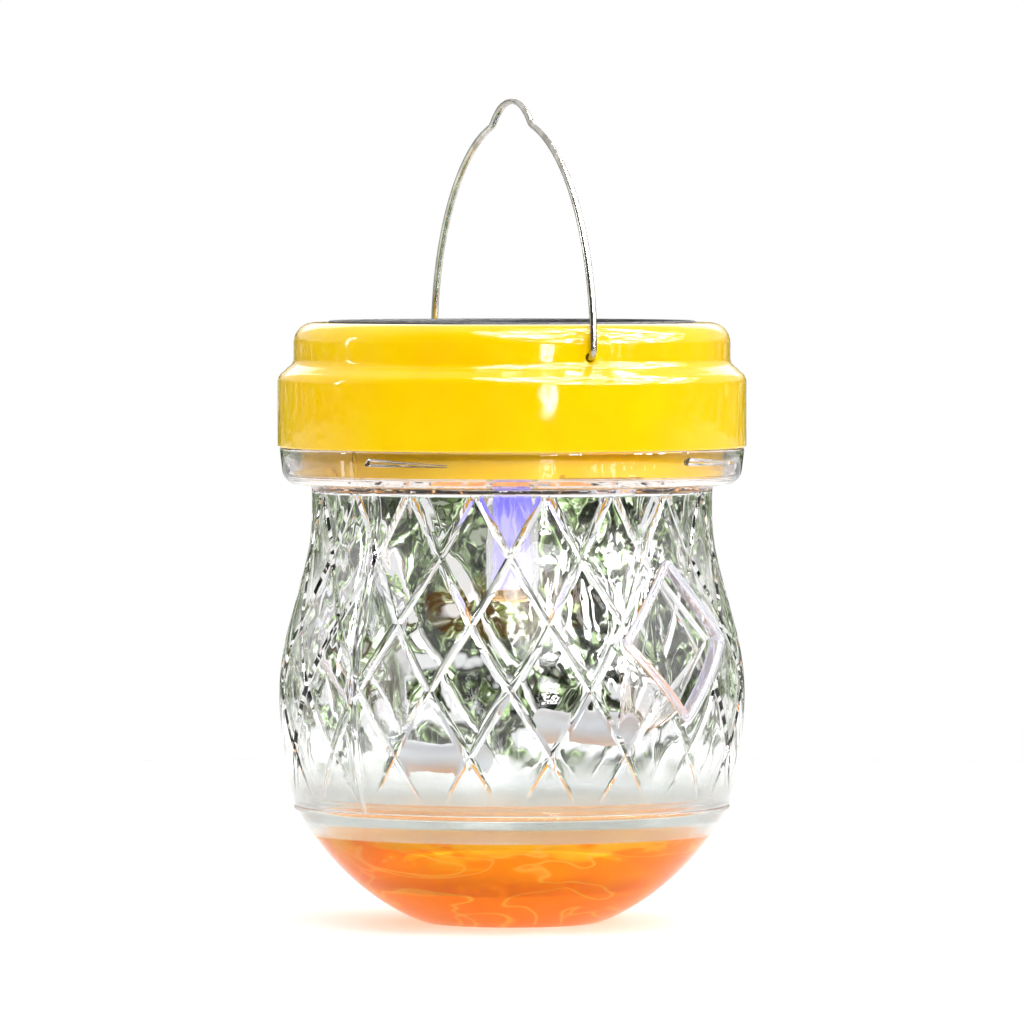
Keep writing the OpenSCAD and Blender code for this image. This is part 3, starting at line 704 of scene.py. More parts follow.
def facet_depth(azimuth, z):
    """How deep the diamond cutting is below the jar's outer surface: V grooves round leaning pillows."""
    a = (azimuth - CUT_OFFSET) / CELL_ANGLE
    w = (z - CUT_ROW_Z) / CELL_H
    rising = line_distance(a - w)
    falling = line_distance(a + w)
    fade_low = np.clip((z - CUT_POINT_Z) / (CUT_FULL_Z - CUT_POINT_Z), 0, 1)
    fade_high = np.clip((CUT_TOP_Z - z) / CUT_FADE_H, 0, 1)
    width = GROOVE_SHARE * np.maximum(fade_low, 0.02)
    unevenness = 0.65 + 0.35 * np.sin(1.7 * a + 0.6) * np.sin(2.3 * w)
    groove = GROOVE_DEPTH * unevenness * np.clip(1 - np.minimum(rising, falling) / width, 0, 1) ** 1.4
    crown = np.sin(np.pi / 2 * rising) * np.sin(np.pi / 2 * falling)
    bevel = BEVEL_DEPTH * np.clip(1 - np.minimum(rising, falling) / BEVEL_SHARE, 0, 1)
    table = PILLOW_DEPTH * (1 - crown) + LEAN_DEPTH * crown * (1 + cell_lean(a - w, a + w)) / 2
    depth = (groove + bevel + table) * fade_low * fade_high
    across = np.radians(azimuth) * shell_r(z)
    lozenge = np.abs(across) / FRAME_W + np.abs(z - FRAME_Z) / FRAME_H
    from_frame = np.abs(lozenge - 1) * FRAME_W * LOZENGE_SLOPE
    return depth * np.clip((from_frame - FRAME_CLEAR_W) / FRAME_FADE_W, 0, 1)


def moulding_ripple(azimuth, z):
    """The uneven flow of the moulded plastic on the jar's inner wall."""
    turn = np.radians(azimuth)
    swirl = np.sin(11 * turn + 0.21 * z) * np.sin(7 * turn - 0.33 * z + 1.3)
    return RIPPLE_DEPTH * (swirl + 0.6 * np.sin(23 * turn + 0.47 * z) * np.sin(0.29 * z + 5 * turn))


def bayonet_share(azimuth, middle, thick_side):
    """Height of a bayonet wedge at an azimuth as a share of its thick end, or 0 clear of it."""
    pitch = 360 / BAYONET_COUNT
    off = (azimuth - middle + pitch / 2) % pitch - pitch / 2
    reach = math.sin(math.radians(BAYONET_SPAN / 2))
    along = np.sin(np.radians(off)) / reach * thick_side
    share = BAYONET_TIP + (1 - BAYONET_TIP) * (along + 1) / 2
    return np.where(np.abs(off) <= BAYONET_SPAN / 2, share, 0)


def jar_outline():
    """The half shell's closed outline, and which of its points lie on the cut outer wall."""
    first_row = math.ceil((CUT_POINT_Z - CUT_ROW_Z) / CELL_H * CUT_STEPS)
    last_row = math.floor((COLLAR_Z - 2 - CUT_ROW_Z) / CELL_H * CUT_STEPS)
    rows = [CUT_ROW_Z + CELL_H * k / CUT_STEPS for k in range(first_row, last_row + 1)]
    wall = [(float(shell_r(z)), z) for z in rows]
    bead_r = float(shell_r(JOINT_Z)) + BEAD_OUT
    bore = COLLAR_R - COLLAR_WALL
    inner = [(float(shell_r(z)) - WALL, z) for z in np.linspace(NECK_Z + 3, JOINT_Z, 34)]
    rest = rounded(
        [
            (NECK_R, rows[-1]),
            (NECK_R, COLLAR_Z, 1.3),
            (COLLAR_R - COLLAR_LEAN, COLLAR_Z, 4.0),
            (COLLAR_R + COLLAR_LEAN, COLLAR_TOP, 0.5),
            (bore, COLLAR_TOP, 0.4),
            *[(bore, RAMP_Z + RAMP_H * k / RAMP_STEPS) for k in range(RAMP_STEPS, -1, -1)],
            (bore, COLLAR_Z + 2.2, 0.8),
            (NECK_R - WALL, COLLAR_Z - 1.2, 1.2),
        ]
        + inner
        + [
            (bead_r, JOINT_Z, 0.4),
            (bead_r, JOINT_Z + BEAD_H, 0.4),
            (float(shell_r(JOINT_Z + BEAD_H)), JOINT_Z + BEAD_H + 0.01, 0.3),
        ],
        steps=6,
    )
    return wall, rest[1:]


def half_shell_mesh():
    """The front half of the jar: diamond cuts outside, smooth inside, bayonet ramps in the collar."""
    wall, rest = jar_outline()
    outline = wall + rest
    rings = len(outline)
    steps = np.arange(FIRST_CELL * CUT_STEPS, LAST_CELL * CUT_STEPS + 0.5)
    azimuths = CUT_OFFSET + CELL_ANGLE * steps / CUT_STEPS
    limit = 90 - SEAM_GAP_ANGLE
    azimuths = np.clip(azimuths, -limit, limit)
    radius = np.tile([p[0] for p in outline], (len(azimuths), 1))
    height = np.tile([p[1] for p in outline], (len(azimuths), 1))
    on_wall = slice(0, len(wall))
    spread = np.repeat(azimuths[:, None], len(wall), axis=1)
    near_seam = np.clip((limit - np.abs(spread) - SEAM_RIB_ANGLE) / SEAM_FADE_ANGLE, 0, 1)
    rib_fade = np.clip((height[:, on_wall] - JOINT_Z - 2) / 3, 0, 1)
    radius[:, on_wall] -= facet_depth(spread, height[:, on_wall]) * near_seam
    radius[:, on_wall] += SEAM_RIB_H * (1 - near_seam) * rib_fade
    bore = COLLAR_R - COLLAR_WALL
    share = bayonet_share(azimuths, RAMP_ANGLE, -1)
    for i, (r, z) in enumerate(rest, len(wall)):
        up = (z - RAMP_Z) / RAMP_H
        if abs(r - bore) < WELD and -WELD < up < 1 + WELD:
            bulge = math.sqrt(max(0, 1 - (2 * up - 1) ** 2))
            height[:, i] = RAMP_Z + RAMP_H * up * np.where(share > 0, share, BAYONET_TIP)
            radius[:, i] = np.where(share > 0, bore - (bore - RAMP_R) * bulge, bore)
        if r < shell_r(z) - WALL + WELD and JOINT_Z < z < NECK_Z:
            radius[:, i] -= moulding_ripple(azimuths, z) * min(1, (z - JOINT_Z) / 4)
    points = ring_point(radius, azimuths[:, None], height).reshape(-1, 3)
    faces = []
    for j in range(len(azimuths) - 1):
        here = j * rings
        there = here + rings
        for i in range(rings):
            k = (i + 1) % rings
            quad = (here + i, here + k, there + k, there + i)
            if i >= len(wall) - 1:
                faces.append(quad)
                continue
            a = (azimuths[j] + azimuths[j + 1]) / 2 - CUT_OFFSET
            w = (outline[i][1] + outline[k][1]) / 2 - CUT_ROW_Z
            if line_distance(a / CELL_ANGLE + w / CELL_H) < line_distance(a / CELL_ANGLE - w / CELL_H):
                faces.append((quad[0], quad[1], quad[3]))
                faces.append((quad[1], quad[2], quad[3]))
            else:
                faces.append((quad[0], quad[1], quad[2]))
                faces.append((quad[0], quad[2], quad[3]))
    faces.append(tuple(range(rings)))
    faces.append(tuple((len(azimuths) - 1) * rings + i for i in range(rings)))
    return make_mesh("jar_half", points, faces)


def lozenge_points(half_w, half_h, corner, steps=8):
    """A lozenge's outline with rounded corners, as (x, z) points about its middle."""
    return rounded(
        [(half_w, 0, corner), (0, half_h, corner), (-half_w, 0, corner), (0, -half_h, corner)], steps
    )


def prism(name, outline, near_y, far_y, centre_z):
    """A closed prism along Y from an (x, z) outline."""
    count = len(outline)
    points = [(x, -near_y, centre_z + z) for x, z in outline]
    points += [(x, -far_y, centre_z + z) for x, z in outline]
    faces = [(i, (i + 1) % count, (i + 1) % count + count, i + count) for i in range(count)]
    faces.append(tuple(range(count)))
    faces.append(tuple(count + i for i in range(count)))
    return add_object(name, make_mesh(name, points, faces))


half_turn = Matrix.Rotation(math.pi, 4, "Z")


def both_sides(name, mesh, finish, slot, sharp):
    """The same mesh at the front and, turned half round, at the back."""
    for side in ("front", "back"):
        obj = add_object(f"{name}_{side}_visual", mesh.copy())
        if side == "back":
            obj.data.transform(half_turn)
        settle(obj, f"{name}_{side}", "jar", finish, slot, sharp)
    bpy.data.meshes.remove(mesh)


def build_jar():
    """Both half shells, each with its lozenge window."""
    shell = add_object("jar_half_work", half_shell_mesh())
    window = lozenge_points(FRAME_W - BAR_W / 2, FRAME_H - BAR_W / 2, 2.0)
    combine(shell, prism("window_tool", window, 38, 60, FRAME_Z), "DIFFERENCE")
    mesh = shell.data.copy()
    bpy.data.objects.remove(shell)
    both_sides("jar_half", mesh, "clear_jar", "clear_jar", sharp=12)


def build_bowl():
    """The round bowl with the two beads' lower half and the lip inside the shells."""
    inner_r = BOWL_R - BOWL_WALL
    gap = 0.05
    floor = -math.degrees(math.asin(BOWL_CENTRE_Z / BOWL_R))
    rim = -math.degrees(math.asin((BOWL_CENTRE_Z - JOINT_Z + BEAD_H) / BOWL_R))
    floor_inner = -math.degrees(math.asin((BOWL_CENTRE_Z - BOWL_WALL) / inner_r))
    lip_r = float(shell_r(JOINT_Z)) - WALL - 2 * gap
    lip_inner = -math.degrees(math.acos((lip_r - LIP_WALL) / inner_r))
    bead_r = float(shell_r(JOINT_Z)) + BEAD_OUT
    base_r = BOWL_R * math.cos(math.radians(floor))
    outside = arc(0, BOWL_CENTRE_Z, BOWL_R, floor, rim, 48)
    inside = arc(0, BOWL_CENTRE_Z, inner_r, lip_inner, floor_inner, 40)
    corners = [(0, 0.5), (base_r - 3.2, 0.5, 0.4), (base_r - 2.6, 0, 0.3), (base_r - 0.3, 0, 1.2)]
    corners += outside[3:]
    corners += [(bead_r, JOINT_Z - BEAD_H, 0.3), (bead_r, JOINT_Z - gap, 0.4), (lip_r, JOINT_Z - gap)]
    corners += [(lip_r, JOINT_Z + LIP_H, 0.4), (lip_r - LIP_WALL, JOINT_Z + LIP_H, 0.4)]
    corners += inside
    corners += [(0, BOWL_WALL)]
    lathe("jar_bowl", rounded(corners), "jar", "clear_bowl", "clear_jar")


def build_bait():
    """The bait, a hair into the bowl's wall so that no air shows between them, with a meniscus."""
    pool_r = BOWL_R - BOWL_WALL + 0.2
    floor_z = BOWL_WALL - 0.2
    start = -math.degrees(math.asin((BOWL_CENTRE_Z - floor_z) / pool_r))
    rise = 1.2
    end = -math.degrees(math.asin((BOWL_CENTRE_Z - BAIT_Z - rise) / pool_r))
    surface_r = pool_r * math.cos(math.radians(end))
    outline = [(0, floor_z)] + arc(0, BOWL_CENTRE_Z, pool_r, start, end, 40)
    outline += arc(surface_r - 1.9, BAIT_Z + 1.6, 1.6, -25, -90, 6)
    outline += [(surface_r - 12, BAIT_Z), (0, BAIT_Z)]
    lathe("bait_liquid", outline, "jar", "bait", sharp=50)


# ---------------------------------------------------------------- entries


def wall_point(x, z, out):
    """A point over the jar's front wall, out from it, at x across."""
    radius = shell_r(z) + out
    return np.stack(np.broadcast_arrays(x, -np.sqrt(radius**2 - np.asarray(x) ** 2), z), axis=-1)


def build_frames():
    """The raised lozenge round each entry: a rounded bar bent to the wall, with a stem in the hole."""
    path = np.array(lozenge_points(FRAME_W - BAR_W / 2, FRAME_H - BAR_W / 2, 0.7, 10))
    dense = []
    for here, there in zip(path, np.roll(path, -1, axis=0)):
        count = max(1, round(np.linalg.norm(there - here) / 0.6))
        dense += [here + (there - here) * k / count for k in range(count)]
    path = np.array(dense)
    ahead = np.roll(path, -1, axis=0) - np.roll(path, 1, axis=0)
    ahead /= np.linalg.norm(ahead, axis=1)[:, None]
    outward = np.stack([ahead[:, 1], -ahead[:, 0]], axis=1)
    section = rounded(
        [
            (-0.86, -WALL, 0.2),
            (-0.1, -WALL),
            (-0.1, 0.05),
            (0.8, 0.05, 0.1),
            (0.8, BEZEL_OUT, 0.7),
            (-0.86, BEZEL_OUT, 0.7),
        ],
        6,
    )
    points = []
    for (x, z), (nx, nz) in zip(path, outward):
        for across, out in section:
            points.append(wall_point(x + nx * across, FRAME_Z + z + nz * across, out))
    mesh = make_mesh("entry_frame", points, band_faces(len(path), len(section)))
    both_sides("entry_frame", mesh, "frame_plastic", "clear_entry", sharp=45)


def funnel_ring(throat_z, share, inset, count):
    """One ring of a funnel, from its lozenge mouth at 0 to its round throat at 1."""
    turn = np.radians(np.arange(count) * 360 / count + 45)
    ease = share * share * (3 - 2 * share) * 0.35 + share * 0.65
    half_w = FRAME_W - BAR_W - 0.35 - inset
    half_h = FRAME_H - BAR_W - 0.35 - inset
    lozenge = 1 / (np.abs(np.cos(turn)) / half_w + np.abs(np.sin(turn)) / half_h)
    soft = 1 / ((np.abs(np.cos(turn)) / half_w) ** 1.25 + (np.abs(np.sin(turn)) / half_h) ** 1.25) ** 0.8
    mouth = np.minimum(lozenge, soft)
    throat = TUNNEL_BORE + FUNNEL_WALL - inset
    radius = mouth + (throat - mouth) * ease
    lean = math.radians(FUNNEL_TILT) * (1 - share)
    across = radius * np.cos(turn)
    up = radius * np.sin(turn)
    y = -(FUNNEL_MOUTH_Y + (FUNNEL_THROAT_Y - FUNNEL_MOUTH_Y) * share)
    z = FRAME_Z + (throat_z - FRAME_Z) * share
    return np.stack([across, y + up * math.sin(lean), z + up * math.cos(lean)], axis=-1)


def funnel_mesh(throat_z):
    """The thin funnel behind a lozenge, down to its tunnel."""
    count = 96
    shares = np.linspace(0, 1, 25)
    rings = [funnel_ring(throat_z, s, 0, count) for s in shares]
    rings += [funnel_ring(throat_z, s, FUNNEL_WALL, count) for s in shares[::-1]]
    return make_mesh("entry_funnel", np.concatenate(rings), band_faces(len(rings), count))


def tunnel_mesh(tunnel_z):
    """The frosted tunnel from a funnel to the middle of the jar."""
    length = TUNNEL_START - TUNNEL_END
    tube_r = TUNNEL_BORE + TUNNEL_WALL
    bulb_r = TUNNEL_BORE + TUNNEL_BULB_WALL
    lip_r = TUNNEL_BORE + TUNNEL_LIP_WALL
    bulb_len = length * TUNNEL_BULB_SHARE
    outline = rounded(
        [
            (TUNNEL_BORE, 0, 0.2),
            (bulb_r, 0, 0.4),
            (bulb_r, bulb_len, 1.5),
            (tube_r, bulb_len + 2.5, 1.5),
            (tube_r, length - 3, 0.8),
            (lip_r, length - 2, 0.3),
            (lip_r, length, 0.35),
            (TUNNEL_BORE, length, 0.2),
        ],
        6,
    )
    place = Matrix.Translation((0, -TUNNEL_START, tunnel_z)) @ Matrix.Rotation(-math.pi / 2, 4, "X")
    return make_mesh("entry_tunnel", *turned(outline, 96, place))


def build_entries():
    """The funnel and the tunnel of each entry; the back ones sit lower than the front ones."""
    for side in ("front", "back"):
        node_name = f"entry_tunnel_{side}"
        tunnel_z = (low(node_name) + high(node_name)) / 2
        parts = [
            (f"entry_funnel_{side}", funnel_mesh(tunnel_z), "clear_entry"),
            (node_name, tunnel_mesh(tunnel_z), "frosted_entry"),
        ]
        for name, mesh, finish in parts:
            if side == "back":
                mesh.transform(half_turn)
            obj = add_object(f"{name}_visual", mesh)
            settle(obj, name, "jar", finish, sharp=45)


# ---------------------------------------------------------------- lid


def lid_outline():
    """Closed outline of the lid, from the skirt's lower edge up over the rim and back down inside."""
    lip_r = COLLAR_R - 0.5
    corners = [(PLUG_R, SKIRT_Z, 0.3), (lip_r, SKIRT_Z), (lip_r, LIP_Z, 0.2), (SKIRT_R, LIP_Z, 0.5)]
    corners += arc(SKIRT_R - 2.6, FLARE_LOW_Z - 0.4, 2.6, 0, 62, 12)
    corners += arc(TIER_R + 2.2, FLARE_HIGH_Z + 0.1, 2.2, 246, 180, 12)
    corners += arc(TIER_R - SHOULDER_R, LID_TOP - SHOULDER_R, SHOULDER_R, 0, 90, 20)
    corners += [(RECESS_R, LID_TOP, 0.5), (RECESS_R, PANEL_BED_Z), (0, PANEL_BED_Z)]
    deck_z = PANEL_BED_Z - DECK_T
    corners += [(0, deck_z), (TIER_R - LID_WALL, deck_z, 1.0)]
    corners += [(TIER_R - LID_WALL, FLARE_HIGH_Z - 0.6, 1.0), (SKIRT_R - LID_WALL, FLARE_LOW_Z - 0.6, 1.0)]
    corners += [(SKIRT_R - LID_WALL, SKIRT_Z + LID_WALL, 0.6), (PLUG_R - PLUG_WALL, SKIRT_Z + LID_WALL, 0.6)]
    corners += [(PLUG_R - PLUG_WALL, PLUG_Z, 0.4), (PLUG_R, PLUG_Z, 0.5)]
    corners += [(PLUG_R, z) for z in (LUG_Z - 0.02, LUG_Z, LUG_Z + LUG_H, LUG_Z + LUG_H + 0.02)]
    return rounded(corners, 6)


def lid_mesh():
    """The lid turned from its outline, with the four bayonet lugs standing out of the plug."""
    outline = lid_outline()
    columns = 360
    points, faces = turned(outline, columns)
    points = points.reshape(columns, len(outline), 3)
    azimuths = np.arange(columns) * 360 / columns
    share = bayonet_share(azimuths, LUG_ANGLE, 1)
    top = LUG_Z + LUG_H * np.where(share > 0, share, BAYONET_TIP)
    reach = np.where(share > 0, LUG_R, PLUG_R)
    for i, (r, z) in enumerate(outline):
        if abs(r - PLUG_R) > WELD:
            continue
        if abs(z - LUG_Z) < WELD:
            points[:, i] = ring_point(reach, azimuths, z)
        if abs(z - LUG_Z - LUG_H) < WELD:
            points[:, i] = ring_point(reach, azimuths, top)
        if abs(z - LUG_Z - LUG_H - 0.02) < WELD:
            points[:, i] = ring_point(np.full(columns, PLUG_R), azimuths, top + 0.02)
    return make_mesh("lid_shell_visual", points.reshape(-1, 3), faces)


def bail_axis(side):
    """Unit vector from the jar's axis towards one of the bail's pivots."""
    turn = math.radians(BAIL_ANGLE)
    return Vector((math.sin(turn) * side, -math.cos(turn) * side, 0))


def rod_along(name, start, axis, outline):
    """A turned solid whose axis starts at a point and runs along a direction."""
    place = Matrix.Translation(start) @ axis.to_track_quat("Z", "Y").to_matrix().to_4x4()
    return add_object(name, make_mesh(name, *turned(outline, 64, place)))


def build_lid():
    """The yellow lid with its panel bosses, the bail's bearings and the holes through them."""
    lid = add_object("lid_shell_visual", lid_mesh())
    for i in range(BOSS_COUNT):
        azimuth = 360 / BOSS_COUNT * i
        foot = Vector(ring_point(BOSS_RING_R, azimuth, TRAY_TOP))
        height = PANEL_BED_Z - DECK_T + 0.3 - TRAY_TOP
        outline = [(1.1, 0), (BOSS_R, 0), (BOSS_R, height), (0, height), (0, height - 2), (1.1, height - 2)]
        combine(lid, rod_along(f"boss_{i}", foot, Vector((0, 0, 1)), outline), "UNION")
    for side in (1, -1):
        axis = bail_axis(side)
        foot = axis * BEARING_IN
        foot.z = PIVOT_Z
        bearing_len = TIER_R - BEARING_IN - 0.6
        bearing = [(0, 0), (BEARING_R, 0), (BEARING_R, bearing_len), (0, bearing_len)]
        combine(lid, rod_along("bearing", foot, axis, bearing), "UNION")
        mouth = TIER_R - BEARING_IN
        hole = [
            (0, -1.0),
            (BAIL_HOLE_R, -1.0),
            (BAIL_HOLE_R, mouth - 0.35),
            (BAIL_HOLE_R + 0.5, mouth + 0.1),
            (BAIL_HOLE_R + 0.5, mouth + 3),
            (0, mouth + 3),
        ]
        combine(lid, rod_along("hole", foot, axis, hole), "DIFFERENCE")
    settle(lid, "lid_shell", "lid", "lid_yellow", sharp=30)


def build_rings():
    """The seal under the skirt and the gasket round the solar panel."""
    seal_low = low("lid_seal")
    seal_high = high("lid_seal")
    seal = band_outline(PLUG_R + 0.4, COLLAR_R - 0.6, seal_low, seal_high, (0.25, 0.3, 0.3, 0.25))
    lathe("lid_seal", seal, "seal", "seal_rubber")
    gasket_out = high("panel_gasket", "x")
    gasket_low = low("panel_gasket")
    gasket_top = LID_TOP + GASKET_PROUD
    gasket = band_outline(PANEL_R + 0.04, gasket_out, gasket_low, gasket_top, (0.2, 0.2, 0.5, 0.5))
    lathe("panel_gasket", gasket, "lid", "black_rubber")


def build_panel():
    """The resin over the solar cells, faintly domed at its edge."""
    bottom = low("panel_cover")
    top = high("panel_cover")
    cover = rounded(
        [
            (0, bottom + 0.45),
            (PANEL_R - 0.1, bottom + 0.45, 0.2),
            (PANEL_R - 0.1, top - 0.15, 0.6),
            (PANEL_R - 4, top, 6),
            (0, top),
        ],
        8,
    )
    lathe("panel_cover", cover, "lid", "panel_resin")


def build_lamp():
    """The light guide with its flange, the violet rod inside it and the cap that closes it."""
    guide = rounded(
        [
            (GUIDE_BORE, GUIDE_Z, 0.3),
            (GUIDE_R, GUIDE_Z, 0.3),
            (GUIDE_R, GUIDE_TOP - GUIDE_FLANGE_H, 0.4),
            (GUIDE_FLANGE_R, GUIDE_TOP - GUIDE_FLANGE_H, 0.3),
            (GUIDE_FLANGE_R, GUIDE_TOP, 0.3),
            (GUIDE_BORE, GUIDE_TOP, 0.3),
        ]
    )
    lathe("light_guide", guide, "lid", "clear_guide", columns=96)
    rod_r = high("diffuser_rod", "x")
    rod = band_outline(0, rod_r, low("diffuser_rod"), high("diffuser_rod"), (0, 0.6, 0.6, 0))
    lathe("diffuser_rod", rod, "lid", "violet_diffuser", columns=96)
    cap = rounded(
        [
            (0, low("guide_cap")),
            (GUIDE_R, low("guide_cap"), 0.35),
            (GUIDE_R, GUIDE_Z - 0.05, 0.1),
            (GUIDE_BORE - 0.05, GUIDE_Z - 0.05),
            (GUIDE_BORE - 0.05, high("guide_cap"), 0.3),
            (0, high("guide_cap")),
        ]
    )
    lathe("guide_cap", cap, "lid", "amber_cap", columns=96)


# ---------------------------------------------------------------- bail


def bail_path():
    """One side of the bail in its own plane, from the middle of its hump to the end of its pin."""
    hump_z = HUMP_TOP - HUMP_R
    fillet_z = (
        (BAIL_R + BAIL_FILLET) ** 2 - (HUMP_R + BAIL_FILLET) ** 2 + hump_z**2 - ARC_DROP**2
    ) / (2 * (hump_z - ARC_DROP))
    fillet_x = math.sqrt((HUMP_R + BAIL_FILLET) ** 2 - (fillet_z - hump_z) ** 2)
    arc_end = math.degrees(math.atan2(fillet_z - ARC_DROP, fillet_x))
    hump_end = math.degrees(math.atan2(fillet_z - hump_z, fillet_x))
    path = arc(0, hump_z, HUMP_R, 90, hump_end, 24)
    path += arc(fillet_x, fillet_z, BAIL_FILLET, 180 + hump_end, 180 + arc_end, 16)[1:]
    path += arc(0, ARC_DROP, BAIL_R, arc_end, 0, 60)[1:]
    path += arc(BAIL_R - ELBOW_R, ELBOW_R, ELBOW_R, 0, -90, 14)
    path += [(BAIL_R - ELBOW_R - 1.5, 0), (PIN_END + 0.6, 0), (PIN_END, 0)]
    return path


def build_bail():
    """The steel bail: one bent wire from pin to pin over the hump."""
    side = bail_path()
    flat = [(-x, z) for x, z in reversed(side)] + side[1:]
    axis = bail_axis(1)
    path = [axis * x + Vector((0, 0, PIVOT_Z + z)) for x, z in flat]
    mesh = make_mesh("bail_wire_visual", *tube(path, WIRE_R, axis.cross(Vector((0, 0, 1)))))
    bail = add_object("bail_wire_visual", mesh)
    settle(bail, "bail_wire", "bail", "bail_steel", sharp=60)


# ---------------------------------------------------------------- CAD nodes that stay


def finish_cad_nodes():
    """Gives every CAD node that stays its procedural finish."""
    finishes = {
        "board_green": ["panel_board", "circuit_board"],
        "solar_silicon": ["solar_cells"],
        "chip_black": ["board_parts"],
        "screw_steel": ["board_screws", "tray_screws", "cover_screw"],
        "led_lens": ["uv_led"],
        "tray_yellow": ["lid_tray", "battery_cover"],
        "battery_wrap": ["battery"],
        "contact_metal": ["contact_spring", "contact_plate"],
        "black_plastic": ["switch_housing"],
        "knob_white": ["switch_knob"],
        "wire_cover": ["panel_wires", "battery_wires"],
    }
    for finish, names in finishes.items():
        for name in names:
            for place in CAD[name].material_slots:
                place.material = FINISH[finish]


# ---------------------------------------------------------------- stage


def around(azimuth, distance, z):
    """A point round the jar, in metres."""
    turn = math.radians(azimuth)
    return Vector((distance * math.sin(turn), -distance * math.cos(turn), z))


def aim(obj, target):
    """Turns a camera or a light to look at a point."""
    obj.rotation_euler = (Vector(target) - obj.location).to_track_quat("-Z", "Y").to_euler()


def add_camera():
    """The camera at the photograph's angle."""
    data = bpy.data.cameras.new("camera")
    data.angle = math.radians(FIELD_OF_VIEW)
    data.clip_end = 20
    camera = bpy.data.objects.new("camera", data)
    bpy.context.scene.collection.objects.link(camera)
    camera.location = around(VIEW_AZIMUTH, CAMERA_DISTANCE, CAMERA_Z)
    aim(camera, (0, 0, AIM_Z))
    bpy.context.scene.camera = camera


def add_softbox(name, azimuth, distance, z, width, height, power, glossy):
    """A soft rectangular light that faces the jar, seen in glossy surfaces or not."""
    data = bpy.data.lights.new(name, "AREA")
    data.shape = "RECTANGLE"
    data.size = width
    data.size_y = height
    data.energy = power
    light = bpy.data.objects.new(name, data)
    light.visible_glossy = glossy
    bpy.context.scene.collection.objects.link(light)
    light.location = around(VIEW_AZIMUTH + azimuth, distance, z)
    aim(light, (0, 0, LIGHT_AIM_Z))


def add_floor():
    """A round pale floor with a faint variation."""
    tree, shader, _ = new_material("floor")
    pale = ramp(tree, noise(tree, 60, 3.0), [(0.3, (0.9, 0.9, 0.9)), (0.7, (0.93, 0.93, 0.93))])
    feed(tree, shader, {"Base Color": pale, "Roughness": 0.6})
    outline = [(0, -3), (600, -3), (600, 0), (0, 0)]
    floor = add_object("floor", make_mesh("floor", *turned(outline, 128)))
    floor.data.materials.append(FINISH["floor"])


def toward(azimuth, elevation=0.0):
    """A unit vector at an azimuth round the jar and an elevation above the horizon, in degrees."""
    rise = math.radians(elevation)
    flat = around(azimuth, math.cos(rise), 0)
    return (flat.x, flat.y, math.sin(rise))


def facing(tree, place, azimuth, elevation=0.0):
    """The cosine of the angle between a place on the sky and a direction."""
    made = node(
        tree, "VectorMath", {0: place, 1: toward(azimuth, elevation)}, operation="DOT_PRODUCT"
    )
    return made.outputs["Value"]


def sky_noise(tree, place, scale, detail, distortion):
    """Noise over the sky."""
    made = node(
        tree,
        "TexNoise",
        {"Vector": place, "Scale": scale, "Detail": detail, "Distortion": distortion},
    )
    return made.outputs["Fac"]


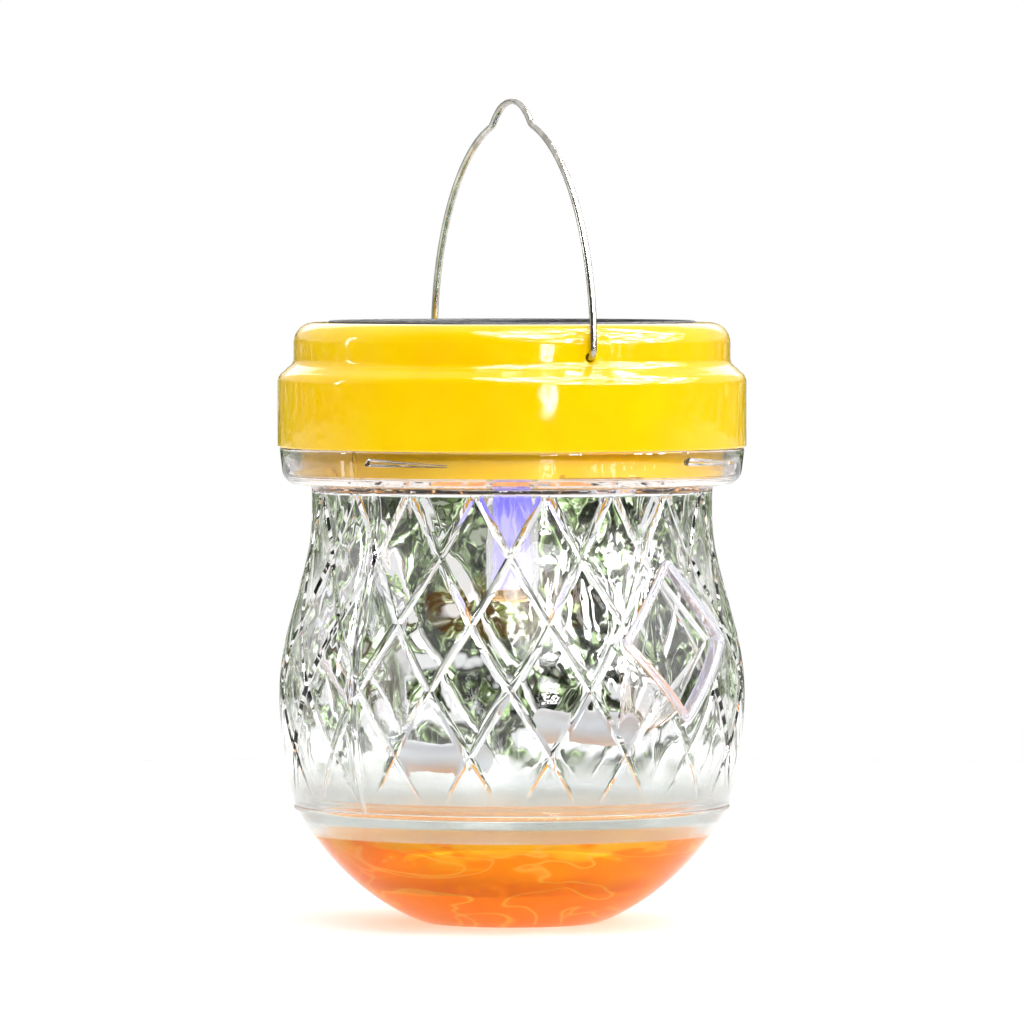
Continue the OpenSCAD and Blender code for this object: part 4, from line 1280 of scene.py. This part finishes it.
def add_world():
    """White for the camera; for glass and gloss, a dim room with dappled light and a garden behind."""
    world = bpy.data.worlds.new("studio")
    world.use_nodes = True
    bpy.context.scene.world = world
    tree = world.node_tree
    tree.nodes.clear()
    place = node(tree, "TexCoord").outputs["Generated"]
    from_view = facing(tree, place, VIEW_AZIMUTH)
    thin_out = times(tree, span(tree, from_view, -0.97, -0.75), 0.03)
    thicket = math_node(tree, "ADD", sky_noise(tree, place, 42.0, 6.0, 0.8), thin_out)
    leaves = ramp(tree, sky_noise(tree, place, 75.0, 3.0, 1.0), LEAF_TONES)
    garden = mix_colour(tree, 0.8, ramp(tree, thicket, GARDEN_TONES), leaves, "MULTIPLY")
    room = ramp(tree, sky_noise(tree, place, 3.0, 2.0, 0.0), ROOM_TONES)
    behind = span(tree, from_view, 0.35, -0.15)
    height = node(tree, "SeparateXYZ", {"Vector": place}).outputs["Z"]
    scenery = mix_colour(tree, span(tree, height, *SKY_EDGE), SKY_TONE, garden)
    sides = mix_colour(tree, behind, room, scenery)
    flame_shape = span(tree, sky_noise(tree, place, 6.5, 5.0, 1.8), 0.545, 0.57)
    flame_near = facing(tree, place, FLAME_AZIMUTH, FLAME_ELEVATION)
    flame_area = span(tree, flame_near, *FLAME_EDGE)
    streak_shape = span(tree, sky_noise(tree, place, 40.0, 3.0, 1.0), 0.5, 0.52)
    streak_across = facing(tree, place, STREAK_AZIMUTH + 90)
    streak_area = times(
        tree,
        span(tree, facing(tree, place, STREAK_AZIMUTH), *STREAK_EDGE),
        span(tree, streak_across, STREAK_OUTER, STREAK_INNER),
        span(tree, streak_across, -STREAK_OUTER, -STREAK_INNER),
    )
    flame = times(tree, flame_shape, flame_area, FLAME_LIGHT)
    streak = times(tree, streak_shape, streak_area, STREAK_LIGHT)
    dapple = math_node(tree, "ADD", flame, streak)
    glossy_ray = node(tree, "LightPath").outputs["Is Glossy Ray"]
    lit_room = mix_colour(tree, 1.0, sides, times(tree, dapple, glossy_ray), "ADD")
    ground = mix_colour(tree, behind, FRONT_GROUND, BACK_GROUND)
    studio = mix_colour(tree, span(tree, height, *GROUND_EDGE), ground, lit_room)
    seen = node(tree, "Background", {"Color": (1, 1, 1, 1), "Strength": 1.0})
    lit = node(tree, "Background", {"Color": studio, "Strength": 1.0})
    camera_ray = node(tree, "LightPath").outputs["Is Camera Ray"]
    output = node(tree, "OutputWorld")
    mix_shaders(tree, output, camera_ray, lit.outputs["Background"], seen.outputs["Background"])


def set_light_paths():
    """Enough bounces for light to cross both walls of the jar, and plain colours."""
    scene = bpy.context.scene
    scene.cycles.max_bounces = 28
    scene.cycles.transmission_bounces = 24
    scene.cycles.transparent_max_bounces = 24
    scene.cycles.glossy_bounces = 8
    scene.cycles.caustics_refractive = True
    scene.cycles.sample_clamp_indirect = 6.0
    scene.view_settings.view_transform = "Standard"


add_camera()
build_jar()
build_bowl()
build_bait()
build_frames()
build_entries()
build_lid()
build_rings()
build_panel()
build_lamp()
build_bail()
finish_cad_nodes()
add_floor()
add_world()
for name, placing in SOFTBOXES.items():
    add_softbox(name, *placing)
set_light_paths()
